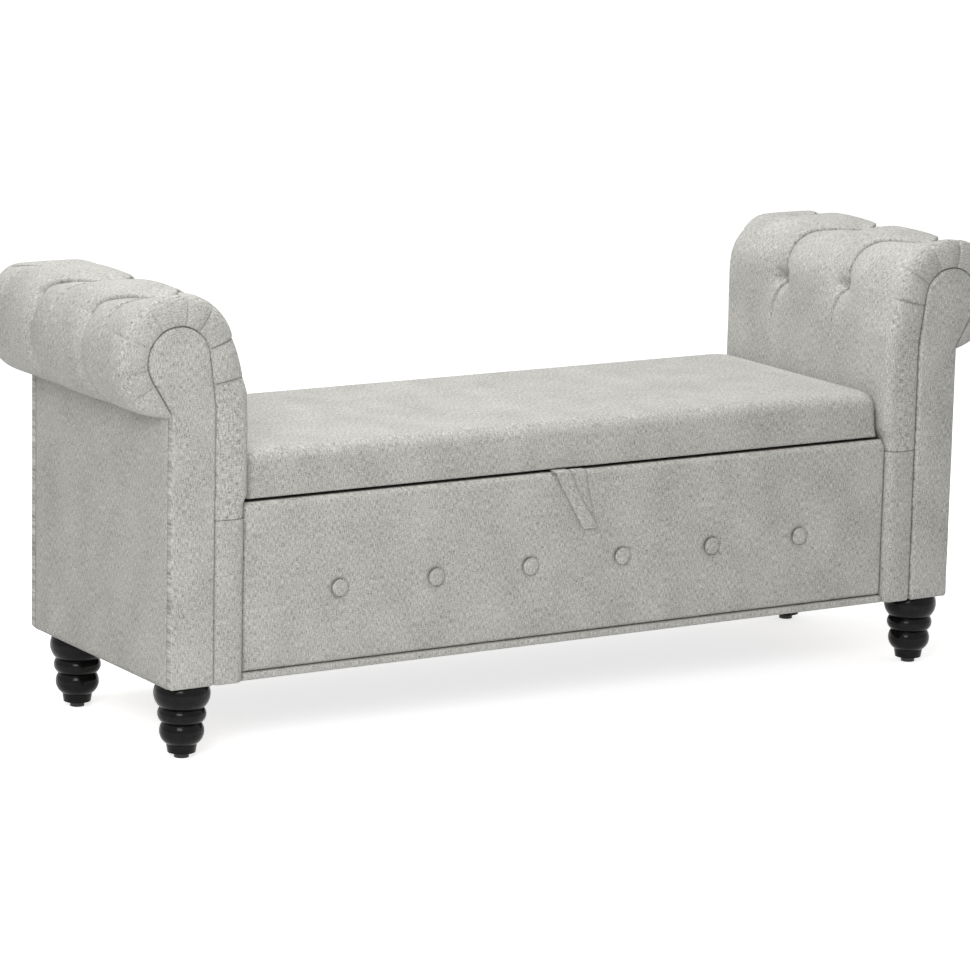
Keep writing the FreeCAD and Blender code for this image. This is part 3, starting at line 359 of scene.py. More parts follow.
def touching(corner, radius, outer=False):
    """The angle at which a line from a corner touches a circle round the roll's centre."""
    across, up = corner[0] - ROLL_X, corner[1] - ROLL_Z
    half = acos(radius / hypot(across, up))
    turn = atan2(up, across)
    return degrees(turn + half) if outer else degrees(turn % (2 * pi) - half)


def dense(*parts):
    return along_line(np.concatenate(parts), spacing=1 * MM)


def falling(first, count):
    """The roll from an angle down to its tuck, drawn in under its outer side."""
    turn = np.linspace(first, TUCK_ANGLE, count)
    radius = ROLL_RADIUS + (TUCK_RADIUS - ROLL_RADIUS) * eased(turn / TUCK_ANGLE)
    turn = np.radians(turn)
    return np.stack([ROLL_X + radius * np.cos(turn), ROLL_Z + radius * np.sin(turn)], axis=1)


SHELF = [(INNER_X, SEAM_Z), (INNER_X, SHELF_Z), (FACE_X, SHELF_Z + 12 * MM)]
TIGHT = dense(SHELF, [(FACE_X, KNEE_Z)], falling(touching((FACE_X, KNEE_Z), ROLL_RADIUS), 160))
QUARTER = np.radians(np.linspace(0, 90, 80))
FULL_QUARTER = np.stack([ROLL_X - (ROLL_X - FACE_X) * np.cos(QUARTER),
                         ROLL_Z + ROLL_RADIUS * np.sin(QUARTER)], axis=1)
FULL = dense(SHELF, [(FACE_X, ROLL_Z)], FULL_QUARTER, falling(90, 120))
TOP_HEIGHT = ROLL_Z - KNEE_Z + travelled(FULL_QUARTER)[-1]
TUCK_HEIGHT = TOP_HEIGHT + ROLL_RADIUS * radians(90 - TUCK_ANGLE)
START_HEIGHT = SEAM_Z - KNEE_Z

FACING_GAP = 0.5 * MM
FACING_KNEE_Z = 0.5
FACING_TIP_Z = 0.497


def facing_line(gap, foot_z, tip_z):
    """A facing's outline with room beside it: up the inner side, round the head, down to the tip."""
    inner, head, outer = FACING_LOW.x - gap, FACING_RADIUS + gap, OUTER_X + gap
    first = touching((inner, FACING_KNEE_Z), head)
    last = touching((outer, FACING_TIP_Z), head, outer=True)
    return dense([(inner, foot_z), (inner, FACING_KNEE_Z)], arc(ROLL_CENTRE, head, first, last, 100),
                 [(outer, FACING_TIP_Z), (outer, tip_z)])


SEAM_LINE = facing_line(FACING_GAP, SEAM_Z, FACING_TIP_Z - 2 * MM)
CORE_RADIUS = RIB_RADIUS + CLEAR
CORE_END = -degrees(acos((OUTER_X + FACING_GAP - ROLL_X) / CORE_RADIUS))
CORE_LINE = dense([(RIB_LOW.x - CLEAR, SEAM_Z)], arc(ROLL_CENTRE, CORE_RADIUS, 180, CORE_END, 160))


def height_at(angle):
    """The height at an angle round the roll: 90 is its top and 0 its outer side."""
    if angle < 90:
        return TOP_HEIGHT + ROLL_RADIUS * radians(90 - angle)
    return TOP_HEIGHT * (1 - (angle - 90) / 125)


def at_heights(line, heights, known):
    """Places on a line for heights, from known pairs of a height and a way along the line."""
    ways, places = travelled(line), sorted(known)
    place = np.interp(heights, [pair[0] for pair in places], [pair[1] for pair in places])
    return np.stack([np.interp(place, ways, line[:, axis]) for axis in (0, 1)], axis=1)


def outline_at(line, heights):
    """Places on an outer outline for heights."""
    ways = travelled(line)
    knee = ways[np.argmin(abs(line[:, 1] - KNEE_Z) + (line[:, 0] > ROLL_X))]
    top = ways[np.argmax(line[:, 1])]
    known = [(START_HEIGHT, 0), (0, knee), (TOP_HEIGHT, top), (TUCK_HEIGHT, ways[-1])]
    return at_heights(line, heights, known)


def inside_at(line, heights):
    """Places on the seam or the core for heights, matched to the outline round the roll."""
    ways = travelled(line)
    turn = np.degrees(np.arctan2(line[:, 1] - ROLL_Z, line[:, 0] - ROLL_X)) % 360
    round_roll = (line[:, 1] > ROLL_Z - 5 * MM) | (line[:, 0] > ROLL_X + 5 * MM)
    known = [(START_HEIGHT, 0), (-0.03, KNEE_Z - 0.03 - line[0][1]), (TUCK_HEIGHT, ways[-1])]
    for angle in (163, 90, 0, -35):
        nearest = np.argmin(np.where(round_roll, abs(turn - angle % 360), 999))
        known.append((height_at(angle), ways[nearest]))
    return at_heights(line, heights, known)


# ---- Tufting ----
# Folds are ways over an arm's cover, each step a pair of a height and a depth from the tuft.

FINE = 1.7 * MM         # the cover's grid, fine enough for the sides of a fold
CREASE_RADIUS = 4.5 * MM
LAP, LAP_REACH = 3.4 * MM, 2.6 * MM
TUFT_PITCH = 0.159
LOW_TUFT, TOP_TUFT = 0.062, 0.205
LOW_TUFTS = [(LOW_TUFT, -TUFT_PITCH / 2), (LOW_TUFT - 0.012, TUFT_PITCH / 2)]
TOP_TUFTS = [(TOP_TUFT, step * TUFT_PITCH) for step in (-1, 0, 1)]
INNER_FOLD = ((0, 0), (0.035, -0.009), (0.066, -0.010), (0.090, -0.019), (0.103, -0.038), (0.112, -0.060),
              (TOP_TUFT - LOW_TUFT, -TUFT_PITCH / 2))
OUTER_FOLD = ((0, 0), (0.034, 0.014), (0.056, 0.040), (0.072, 0.064), (0.094, 0.072), (0.120, 0.066),
              (0.150, 0.060))
HANGING_FOLD = ((0.094, 0.072), (0.150, 0.062), (0.210, 0.056), (0.290, 0.056))
SOFT_FOLD = ((0, 0), (0.045, 0.012), (0.095, 0.045), (TOP_TUFT - LOW_TUFT, TUFT_PITCH / 2))
FALL_FOLD = ((0, 0), (-0.030, 0.013), (-0.060, 0.019), (-0.100, 0.020))
STRAIGHT_FOLD = ((0, 0), (0.030, 0.005), (0.062, 0.014), (0.100, 0.012), (0.150, 0.008))


def rounded_path(start, steps):
    """A fold's way over the cover, with its corners cut smooth."""
    path = np.asarray(steps, dtype=float) + np.asarray(start)
    for _ in range(3):
        near, far = path[:-1] * 0.75 + path[1:] * 0.25, path[:-1] * 0.25 + path[1:] * 0.75
        path = np.concatenate([path[:1], np.stack([near, far], axis=1).reshape(-1, 2), path[-1:]])
    return path


def off_path(places, path):
    """How far places are from a path, the way to it, their side of it, and how far along it they are."""
    nearest = np.full(places.shape[:-1], 9.0)
    toward = np.zeros(places.shape)
    side, along = np.ones(nearest.shape), np.zeros(nearest.shape)
    for index in range(len(path) - 1):
        step = path[index + 1] - path[index]
        reach = places - path[index]
        share = np.clip((reach @ step) / (step @ step), 0, 1)
        away = reach - share[..., None] * step
        distance = np.linalg.norm(away, axis=-1)
        closer = distance < nearest
        turn = np.where(step[0] * away[..., 1] - step[1] * away[..., 0] < 0, 1.0, -1.0)
        nearest = np.where(closer, distance, nearest)
        toward = np.where(closer[..., None], -away / np.maximum(distance, 1e-6)[..., None], toward)
        side = np.where(closer, turn, side)
        along = np.where(closer, (index + share) / (len(path) - 1), along)
    return nearest, toward, side, along


def crease(away, over, depth, lip):
    """The section of a fold: a rolled lip on one side, and cloth that falls into it on the other."""
    lipped = lip * (1 - round_off(away / CREASE_RADIUS)) * bell(away, 22 * MM)
    sunken = -0.12 * depth * bell(away, 14 * MM)
    return np.where(over, lipped, sunken) - depth * round_off(away / CREASE_RADIUS)


class Relief:
    """How far a cover stands off its plain outline, and how far its cloth slides along it."""

    def __init__(self, heights, depths):
        self.places = np.stack([heights, depths], axis=-1)
        self.stands = np.zeros(heights.shape)
        self.slides = np.zeros(self.places.shape)

    def fold(self, path, depth, lip, strength, drawn=4 * MM, lip_side=-1):
        """A fold whose lip laps over the crease, in a wide hollow that its thread draws in."""
        away, toward, side, along = off_path(self.places, path)
        strong, lipped = strength(along), side == lip_side
        snap = (away - FINE * np.round(away / FINE)) * (1 - eased(away / FINE / 3 - 1))
        away = away - snap
        self.stands += strong * (crease(away, lipped, depth, lip) - drawn * bell(away, 24 * MM))
        reach = away / LAP_REACH
        lap = LAP * reach * np.exp(1 - reach) * lipped
        self.slides += (snap + lap * strong)[..., None] * toward

    def valley(self, path, depth, width, strength):
        away, _, _, along = off_path(self.places, path)
        self.stands -= depth * strength(along) * bell(away, width)

    def tuft(self, place, depth, hollow):
        away = np.linalg.norm(self.places - np.asarray(place), axis=-1)
        self.stands -= depth * bell(away, 9 * MM) + hollow * bell(away, 34 * MM)


def fading(along):
    return eased((1 - along) * 1.4) * (0.45 + 0.55 * eased(along * 5))


def waning(along):
    return (1 - along) ** 1.1


def tuft_relief(heights, depths):
    """The tufting of an arm: blind tufts in two rows, with a fold from each to its neighbour."""
    relief = Relief(heights, depths)
    relief.stands += 3.5 * MM * eased((heights + 0.02) / 0.08) * eased((TUCK_HEIGHT - heights) / 0.06)
    relief.stands -= 5 * MM * bell(heights - TOP_HEIGHT, 0.05)
    for tuft in LOW_TUFTS:
        relief.tuft((tuft[0], tuft[1] + 3 * MM), 16 * MM, 7 * MM)
        relief.fold(rounded_path(tuft, INNER_FOLD), 16 * MM, 2.5 * MM,
                    lambda along: 0.8 + 0.2 * np.sin(np.pi * along))
        relief.fold(rounded_path(tuft, FALL_FOLD), 10 * MM, 3.0 * MM, waning, drawn=5 * MM, lip_side=1)
        relief.valley(rounded_path(tuft, SOFT_FOLD), 6 * MM, 15 * MM,
                      lambda along: 0.4 + 0.6 * (2 * along - 1) ** 2)
    for tuft in TOP_TUFTS:
        full = 0.3 if tuft is TOP_TUFTS[-1] else 1.0
        relief.tuft(tuft, 6 * MM, 7 * MM)
        relief.fold(rounded_path(tuft, OUTER_FOLD), 15 * MM * full, 2.5 * MM * full, fading)
        relief.fold(rounded_path(tuft, STRAIGHT_FOLD), 12 * MM * full, 2.0 * MM * full, fading)
        relief.valley(rounded_path(tuft, HANGING_FOLD), 6 * MM * full, 14 * MM, lambda along: 1 - 0.4 * along)
    return relief


PLEAT_ANGLES = {"left": (200, 164, 128, 100, 58, 23, -13, -40), "right": (178, 148, 113, 78, 40, 5, -30)}


def pleat_relief(side, heights, from_seam):
    """Pleats that gather the cover to the facing, fading as they run on to the roll."""
    total = np.zeros(heights.shape)
    at_seam = 0.35 + 0.65 * eased(from_seam / (9 * MM))
    for count, angle in enumerate(PLEAT_ANGLES[side]):
        across = heights - height_at(angle)
        reach = (0.052, 0.066)[count % 2]
        fade = at_seam * (1 - eased((from_seam - 0.4 * reach) / (0.6 * reach)))
        pleat = crease(abs(across) * 1.2, across > 0, 5.5 * MM, 1.0 * MM)
        total += fade * (pleat - 2.0 * MM * bell(across, 15 * MM))
    return total


# ---- Arms ----

BACK_Y = -FACING_HIGH.y + CLEAR
BAND_EDGE = 13 * MM
SEAM_DEPTH = 3.6 * MM
CREST_DEPTHS = (0.09, 0.12, 0.17, 0.20, 0.22)
CREST_LIMITS = (0.668, 0.663, 0.654, 0.649, 0.645)
LAST_ROWS = np.array([0, 0.7, 2, 4]) * MM     # close rows that round off a cut end


def outward(line):
    """The direction away from the arm at each point of an outline."""
    slope = np.gradient(line, axis=0)
    turned = np.stack([-slope[:, 1], slope[:, 0]], axis=1)
    return turned / np.linalg.norm(turned, axis=1, keepdims=True)


def in_frame(line, y):
    """Points of an XZ line at a depth."""
    return np.stack([line[:, 0], np.broadcast_to(y, len(line)), line[:, 1]], axis=1)


def fullness(share):
    """How far an end stands off its plane, from its seam (0) to its rim (1)."""
    return 2.8 * MM * sin(pi * share * 0.75) - 3.4 * MM * round_off(share / 0.16)


def end_columns(sign, seam, core, edge, inset, depth):
    """Columns from the core round one end of an arm, up to where its rounded edge meets the roll.

    Each is its points, the direction it is puffed out in, and its distance from the facing's seam.
    """
    rows = len(seam)
    still = np.zeros((rows, 3))
    to_seam = seam - edge
    width = np.linalg.norm(to_seam, axis=1, keepdims=True)
    inward = to_seam / width
    inset = np.minimum(inset, 0.62 * width)
    rim = edge + inward * inset
    front = -BAND_Y
    columns = [(in_frame(line, y), still, 1.0) for line, y in (
        (core, BACK_Y), ((core + seam) / 2, BACK_Y), (seam, BACK_Y), (seam, BACK_Y + SEAM_DEPTH))]
    facing_out = np.tile([0.0, 1.0, 0.0], (rows, 1))
    flat_way = float(np.median(width - inset))
    for share in np.linspace(0, 1, 14):
        line = seam * (1 - share) + rim * share
        columns.append((in_frame(line, front + fullness(share)), facing_out, share * flat_way))
    for turn in np.radians(np.linspace(0, 90, 11))[1:-1]:
        line = rim - inward * inset * sin(turn)
        puff = np.stack([-inward[:, 0] * sin(turn), np.full(rows, cos(turn)),
                         -inward[:, 1] * sin(turn)], axis=1)
        y = front + 2 * MM * cos(turn) - depth * (1 - cos(turn))
        columns.append((in_frame(line, y), puff, flat_way + 1.3 * depth * sin(turn)))
    flip = np.array([1, sign, 1])
    return [(points * flip, puff * flip, distance) for points, puff, distance in columns]


def limited(grid, deep):
    """Hold a cover's crest under its limit and its inner face off the seat, both with soft bends."""
    soft, gap = 3 * MM, 2.5 * MM
    room = (np.interp(deep, CREST_DEPTHS, CREST_LIMITS) - grid[..., 2]) / soft
    grid[..., 2] += soft * (room - np.log1p(np.exp(np.clip(room, None, 30)))) * (room < 30)
    soft = 2 * MM
    face = (grid[..., 0] - FACE_X + gap) / soft
    grid[..., 0] = np.where(face < 9, FACE_X - gap + soft * np.log1p(np.exp(face)), grid[..., 0])


def make_arm_cover(side):
    """The tufted cover of an arm, gathered round both facings."""
    roll_start = -0.072
    heights = np.concatenate([START_HEIGHT + LAST_ROWS,
                              np.arange(START_HEIGHT + 6 * MM, roll_start - 3 * MM, 4 * MM),
                              np.linspace(roll_start, TUCK_HEIGHT, int((TUCK_HEIGHT - roll_start) / FINE))])
    tight, full = outline_at(TIGHT, heights), outline_at(FULL, heights)
    seam, core = inside_at(SEAM_LINE, heights), inside_at(CORE_LINE, heights)
    front_inset = BAND_EDGE + 12 * MM * eased((heights + 0.05) / 0.08)[:, None]
    front_depth, rear_depth = 17 * MM, 8 * MM
    front = end_columns(-1, seam, core, tight, front_inset, front_depth)
    rear = end_columns(1, seam, core, full, 8 * MM, rear_depth)
    first_y, last_y = BAND_Y + front_depth, -BAND_Y - rear_depth
    middle = []
    band_way, rear_way = front[-1][2], rear[-1][2]
    for y in np.linspace(first_y, last_y, int((last_y - first_y) / FINE)):
        share = eased((y - first_y) / 0.075)
        line = tight * (1 - share) + full * share
        distance = min(band_way + y - first_y, rear_way + last_y - y)
        middle.append((in_frame(line, y), in_frame(outward(line), 0.0), distance))
    columns = front + middle + rear[::-1]
    grid, puff = (np.stack([column[part] for column in columns], axis=1) for part in (0, 1))
    from_seam = np.tile([column[2] for column in columns], (len(heights), 1))
    tall = np.repeat(heights[:, None], grid.shape[1], axis=1)
    deep = grid[..., 1].copy()

    relief = tuft_relief(tall, deep)
    fade = eased((deep - BAND_Y - 4 * MM) / 0.022) * eased((-BAND_Y - 2 * MM - deep) / 0.014)
    stands = relief.stands * fade + pleat_relief(side, tall, from_seam) + ripple(tall, deep, 0.7 * MM, 3)
    stands -= 2.5 * MM * round_off((tall - START_HEIGHT) / LAST_ROWS[-1])
    stands += eased((tall - TUCK_HEIGHT + 0.06) / 0.06) * ripple(deep, 0 * deep, 2.5 * MM, 8)
    stands = np.where(stands > 0, 6 * MM * np.tanh(stands / (6 * MM)), stands)
    up = np.gradient(grid, axis=0)
    up /= np.linalg.norm(up, axis=-1, keepdims=True)
    slides = relief.slides * fade[..., None]
    grid += puff * stands[..., None] + up * slides[..., :1]
    grid[..., 1] += slides[..., 1]
    limited(grid, deep)

    reach = -BAND_Y - 0.04
    across = np.where(from_seam < band_way, np.sign(deep) * (reach + 0.1 - from_seam), deep)
    weave = np.stack([np.where(abs(deep) > reach, across, deep), tall], axis=-1)
    piece = closed_tube(f"arm_{side}_tufted_cover", grid, weave, side == "left", replaces=[f"arm_{side}_pad"])
    return piece


def tube_faces(rows, columns):
    """Quads round a closed grid of rows, with its two ends closed."""
    faces = []
    for row in range(rows - 1):
        for column in range(columns):
            a, b = row * columns + column, row * columns + (column + 1) % columns
            faces.append((a, b, b + columns, a + columns))
    return faces + [tuple(reversed(range(columns))), tuple(range((rows - 1) * columns, rows * columns))]


def closed_tube(name, grid, weave, mirrored=False, **riding):
    """A closed tube from rows of points; a mirrored one stands on the left."""
    points = grid.reshape(-1, 3) * np.array([-1 if mirrored else 1, 1, 1])
    return mesh_piece(name, points, tube_faces(*grid.shape[:2]), weave.reshape(-1, 2), **riding)


def weave_round(rows, section):
    """The weave of a tube: along it by its rows, and round it by the way round its section."""
    return np.stack([np.tile(travelled(section), (len(rows), 1)),
                     np.tile(np.asarray(rows)[:, None], (1, len(section)))], axis=-1)


def make_lower_band(side, end):
    """The plain band between a facing and the storage box, below the seat."""
    sign = -1 if end == "front" else 1
    front, rib_front, rib_back = -BAND_Y, BACK_Y, -RIB_HIGH.y - CLEAR
    facing_side, core_x = FACING_LOW.x - FACING_GAP, RIB_LOW.x - CLEAR
    loop = [(facing_side, rib_front), (facing_side, rib_front + SEAM_DEPTH)]
    for share in np.linspace(0, 1, 12):
        loop.append((facing_side + (INNER_X + BAND_EDGE - facing_side) * share, front + fullness(share)))
    for turn in np.radians(np.linspace(0, 90, 8))[1:]:
        loop.append((INNER_X + BAND_EDGE * (1 - sin(turn)),
                     front + 2 * MM * cos(turn) - BAND_EDGE * (1 - cos(turn))))
    loop += [(INNER_X, rib_back), (core_x, rib_back), (core_x, rib_front)]
    loop = np.asarray(loop)
    middle = np.array([(facing_side + INNER_X) / 2, (front + rib_front) / 2])
    inward = (middle - loop) / np.linalg.norm(middle - loop, axis=1, keepdims=True)
    low, high = ARM_FOOT, SEAM_Z - 0.4 * MM
    inner_rows = np.linspace(low + 9 * MM, high - 9 * MM, 40)
    rows = np.concatenate([low + LAST_ROWS, inner_rows, high - LAST_ROWS[::-1]])
    grid = []
    for z in rows:
        pulled = loop + inward * 2.5 * MM * round_off(min(z - low, high - z) / LAST_ROWS[-1])
        waver = ripple(loop[:, 0], np.full(len(loop), z), 0.6 * MM, 5) * (loop[:, 1] > rib_front + 4 * MM)
        grid.append([(x, sign * (y + off), z) for (x, y), off in zip(pulled, waver)])
    weave = weave_round(rows, loop)
    piece = closed_tube(f"arm_{side}_{end}_lower_band", np.asarray(grid), weave, side == "left")
    return piece


def make_facing(side, end):
    """A scroll-shaped facing: a stuffed face with a rolled edge."""
    sign = -1 if end == "front" else 1
    corner, roll = 3 * MM, 5 * MM
    upper = facing_line(0, ARM_FOOT + corner, ARM_FOOT + corner)
    inner_foot, outer_foot = [(FACING_LOW.x + corner, ARM_FOOT)], [(OUTER_X - corner, ARM_FOOT)]
    outline = along_line(np.concatenate([inner_foot, upper, outer_foot]), spacing=3 * MM)
    post_x = (FACING_LOW.x + OUTER_X) / 2
    low = ARM_FOOT + (OUTER_X - FACING_LOW.x) / 2
    spine = along_line([(post_x, low), (post_x, FACING_KNEE_Z - 0.02), (ROLL_X, ROLL_Z)], spacing=1 * MM)
    centre = np.array([spine[np.argmin(np.linalg.norm(spine - point, axis=1))] for point in outline])
    reach = np.linalg.norm(outline - centre, axis=1, keepdims=True)
    front, back = -FACING_LOW.y, -FACING_HIGH.y
    rings = [(outline + (centre - outline) * 0.5, back), (outline, back), (outline, (back + front - roll) / 2)]
    for turn in np.radians(np.linspace(0, 90, 7)):
        rings.append((outline + (centre - outline) / reach * roll * (1 - cos(turn)),
                      front - roll * (1 - sin(turn))))
    start = rings[-1][0]
    for share in (0.06, 0.14, 0.26, 0.42, 0.60, 0.80, 0.97):
        rings.append((start + (centre - start) * share, front + 1.8 * MM * sin(share * pi / 2)))
    grid = np.asarray([[(x, sign * y, z) for x, z in line] for line, y in rings])
    grid[3:, :, 1] += ripple(grid[3:, :, 0], grid[3:, :, 2], 0.5 * MM, 11)
    piece = closed_tube(f"arm_{side}_{end}_scroll_facing", grid, grid[..., [0, 2]], side == "left",
                        replaces=[f"arm_{side}_{end}_facing"])
    return piece


def sheet_points(u_range, v_range, spacing):
    """Places of a flat grid, and how far each is from the grid's edge."""
    ways = [np.linspace(low, high, max(3, int((high - low) / spacing))) for low, high in (u_range, v_range)]
    u, v = np.meshgrid(*ways)
    inset = np.minimum(np.minimum(u - u_range[0], u_range[1] - u), np.minimum(v - v_range[0], v_range[1] - v))
    return u, v, inset


def skins(rows, columns):
    """Faces of two equal grids of points and of the rim between them."""
    index = np.arange(rows * columns).reshape(rows, columns)
    faces = []
    for a in index[:-1, :-1].ravel().tolist():
        quad = (a, a + 1, a + 1 + columns, a + columns)
        faces += [quad, tuple(index.size + corner for corner in reversed(quad))]
    rim = np.concatenate([index[0], index[1:, -1], index[-1, -2::-1], index[-2:0:-1, 0]]).tolist()
    for first, second in zip(rim, rim[1:] + rim[:1]):
        faces.append((second, first, first + index.size, second + index.size))
    return faces


def cloth_panel(name, u_range, v_range, place, thickness, spacing, seed, board, flat=None,
                unevenness=0.5 * MM, puff=0.0, turned=2 * MM, **riding):
    """A cloth stretched on a board: two skins that meet at turned edges.

    place turns (u, v, distance off the board) into a point.
    """
    u, v, inset = sheet_points(u_range, v_range, spacing)
    edge = eased(inset / turned)
    out = thickness * (0.5 + 0.5 * edge) + ripple(u, v, unevenness, seed) * edge
    out += puff * eased(inset / (30 * MM))
    places = np.stack([u.ravel(), v.ravel()], axis=1)
    top = [place(a, b, off) for (a, b), off in zip(places, out.ravel())]
    under = [place(a, b, 0) for a, b in places]
    low, high = places.min(axis=0), places.max(axis=0)
    middle = (low + high) / 2
    wider = middle + (places - middle) * (1 + 2 * thickness / (high - low))
    piece = mesh_piece(name, top + under, skins(*u.shape), np.concatenate([places, wider]), **riding)
    flat = flat or (u_range[1] - u_range[0], v_range[1] - v_range[0])
    return piece


def make_outer_cover(side):
    """The plain fabric panel on an arm's outer side."""
    low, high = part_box(f"arm_{side}_outer_cover")
    board, sign = (low.x, 1) if side == "right" else (high.x, -1)
    cloth_panel(f"arm_{side}_side_panel", (low.y, high.y), (low.z, high.z),
                lambda u, v, out: (board + sign * out, u, v), high.x - low.x, 6 * MM, 21,
                f"arm_{side}_outer_board", puff=0.8 * MM, replaces=[f"arm_{side}_outer_cover"])


def make_arms():
    for side in SIDES:
        make_arm_cover(side)
        make_outer_cover(side)
        for end in ("front", "rear"):
            make_facing(side, end)
            make_lower_band(side, end)


# ---- Storage box ----

BUTTON_RADIUS = (BUTTONS_HIGH.z - BUTTONS_LOW.z) / 2
BUTTON_Z = (BUTTONS_HIGH.z + BUTTONS_LOW.z) / 2
BUTTON_PLACES = np.linspace(BUTTONS_LOW.x + BUTTON_RADIUS, BUTTONS_HIGH.x - BUTTON_RADIUS, 6)


def round_corners(x, z, half, top, radius):
    """Pull the places of a grid in from its square upper corners to round ones."""
    over_x, over_z = np.clip(abs(x) - half + radius, 0, None), np.clip(z - top + radius, 0, None)
    both = (over_x > 0) & (over_z > 0)
    away = np.hypot(over_x, over_z)
    factor = np.where(both, np.maximum(over_x, over_z) / np.where(away > 0, away, 1), 1)
    return (np.where(both, np.sign(x) * (half - radius + over_x * factor), x),
            np.where(both, top - radius + over_z * factor, z))


def make_front_pad():
    """The padded front of the box, drawn in by its six buttons."""
    half, top = PANEL_HIGH.x, PANEL_HIGH.z
    u, v, inset = sheet_points((-half, half), (PANEL_LOW.z, top), 3 * MM)
    x, z = round_corners(u, v, half, top, 14 * MM)
    crown, edge = 2.6 * MM, 7 * MM
    front = PANEL_LOW.y + crown + edge - np.sqrt(edge ** 2 - (edge - np.clip(inset, 0, edge)) ** 2)
    front -= crown * eased(inset / (45 * MM)) + ripple(x, z, 0.5 * MM, 31) * eased(inset / (20 * MM))
    for place in BUTTON_PLACES:
        away = np.hypot(x - place, z - BUTTON_Z)
        turn = np.arctan2(z - BUTTON_Z, x - place)
        pull = 1 + 0.18 * np.cos(4 * turn + place * 40) * bell(away, 0.05)
        front += 4.6 * MM * np.exp(-(away / (15.5 * MM)) ** 6)
        front += 3.0 * MM * bell(away, 40 * MM * pull)
    back = np.full(x.shape, PANEL_HIGH.y - CLEAR)
    points = np.concatenate([np.stack([x, front, z], axis=-1), np.stack([u, back, v], axis=-1)])
    weave = np.tile(np.stack([x.ravel(), z.ravel()], axis=1), (2, 1))
    piece = mesh_piece("front_panel_cover", points.reshape(-1, 3), skins(*u.shape), weave,
                       replaces=["front_panel_pad"])
    return piece


def make_rim_cloth_as_slit_shade():
    """Black lining cloth turned over the top edge of the front panel board; its black is also painted shade
    for the slit under the lid.
    """
    low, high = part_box("front_panel_board")
    cloth_panel("front_rim_cloth_as_slit_shade", (low.x, high.x), (low.y + 1 * MM, high.y - 0.2 * MM),
                lambda u, v, out: (u, v, high.z + out), 0.6 * MM, 6 * MM, 36, "front_panel_board",
                flat=(high.x - low.x, high.y - low.y), unevenness=0.05 * MM, turned=1 * MM, **LINING)


def lathe(profile, count):
    """Rings of points round the Y axis from pairs of a radius and a place along it."""
    turns = np.radians(np.arange(count) * 360 / count)
    return np.asarray([[(radius * cos(turn), y, radius * sin(turn)) for turn in turns]
                       for radius, y in profile])


def make_buttons():
    """Six fabric-covered buttons: a shallow dome whose cloth is gathered under its rim."""
    front, depth = BUTTONS_LOW.y, BUTTONS_HIGH.y - BUTTONS_LOW.y
    profile = [(0.62, 1.0), (0.93, 0.97), (1.0, 0.80), (1.0, 0.62), (0.97, 0.42), (0.90, 0.26),
               (0.78, 0.15), (0.60, 0.07), (0.38, 0.02), (0.14, 0.0)]
    sides = 48
    gathered = np.array([share > 0.9 for share, _ in profile])[:, None]
    points, faces, weave = [], [], []
    for place in BUTTON_PLACES:
        rings = lathe([(BUTTON_RADIUS * share, front + depth * rise) for share, rise in profile], sides)
        turn = np.arctan2(rings[..., 2], rings[..., 0])
        rings[..., [0, 2]] *= (1 + 0.012 * np.cos(turn * 14 + place * 9) * gathered)[..., None]
        rings += np.array([place, 0, BUTTON_Z])
        first = len(points)
        points += rings.reshape(-1, 3).tolist()
        faces += [tuple(first + corner for corner in face) for face in tube_faces(len(profile), sides)]
        weave += rings[..., [0, 2]].reshape(-1, 2).tolist()
    piece = mesh_piece("covered_buttons", points, faces, weave, replaces=["front_panel_buttons"])
    return piece


def make_base_strip():
    """The covered strip under the front panel, rolled at its lower front edge."""
    low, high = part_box("front_base_strip")
    roll = 3.5 * MM
    section = [(low.y + 9 * MM, high.z - 0.3 * MM), (low.y + 3 * MM, high.z - 0.5 * MM),
               (low.y + 1.0 * MM, high.z - 1.4 * MM), (low.y, high.z - 3.6 * MM)]
    section += [(low.y + roll * (1 - cos(turn)), low.z + roll * (1 - sin(turn)))
                for turn in np.radians(np.linspace(0, 90, 6))]
    section += [(high.y, low.z), (high.y, high.z - 0.3 * MM)]
    section = np.asarray(section)
    rows = np.linspace(low.x, high.x, 150)
    grid = np.asarray([[(x, y, z) for y, z in section] for x in rows])
    grid[:, 1:8, 1] -= ripple(grid[:, 1:8, 0], grid[:, 1:8, 2], 0.6 * MM, 41)
    weave = weave_round(rows, section)[..., ::-1]
    piece = closed_tube("front_base_covering", grid, weave, replaces=["front_base_strip"])
    return piece


def make_rear_cover():
    low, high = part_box("rear_panel_cover")
    cloth_panel("rear_panel_fabric", (low.x, high.x), (low.z, high.z), lambda u, v, out: (u, low.y + out, v),
                high.y - low.y, 7 * MM, 51, "rear_panel_board", puff=0.6 * MM, turned=3 * MM,
                replaces=["rear_panel_cover"])


def make_flat_lining(name, node, spacing, seed, board, unevenness, body="base"):
    """Black cloth on the underside of a board, in the place of a CAD node."""
    low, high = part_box(node)
    cloth_panel(name, (low.x, high.x), (low.y, high.y), lambda u, v, out: (u, v, high.z - out),
                high.z - low.z, spacing, seed, board, unevenness=unevenness, body=body, replaces=[node],
                **LINING)


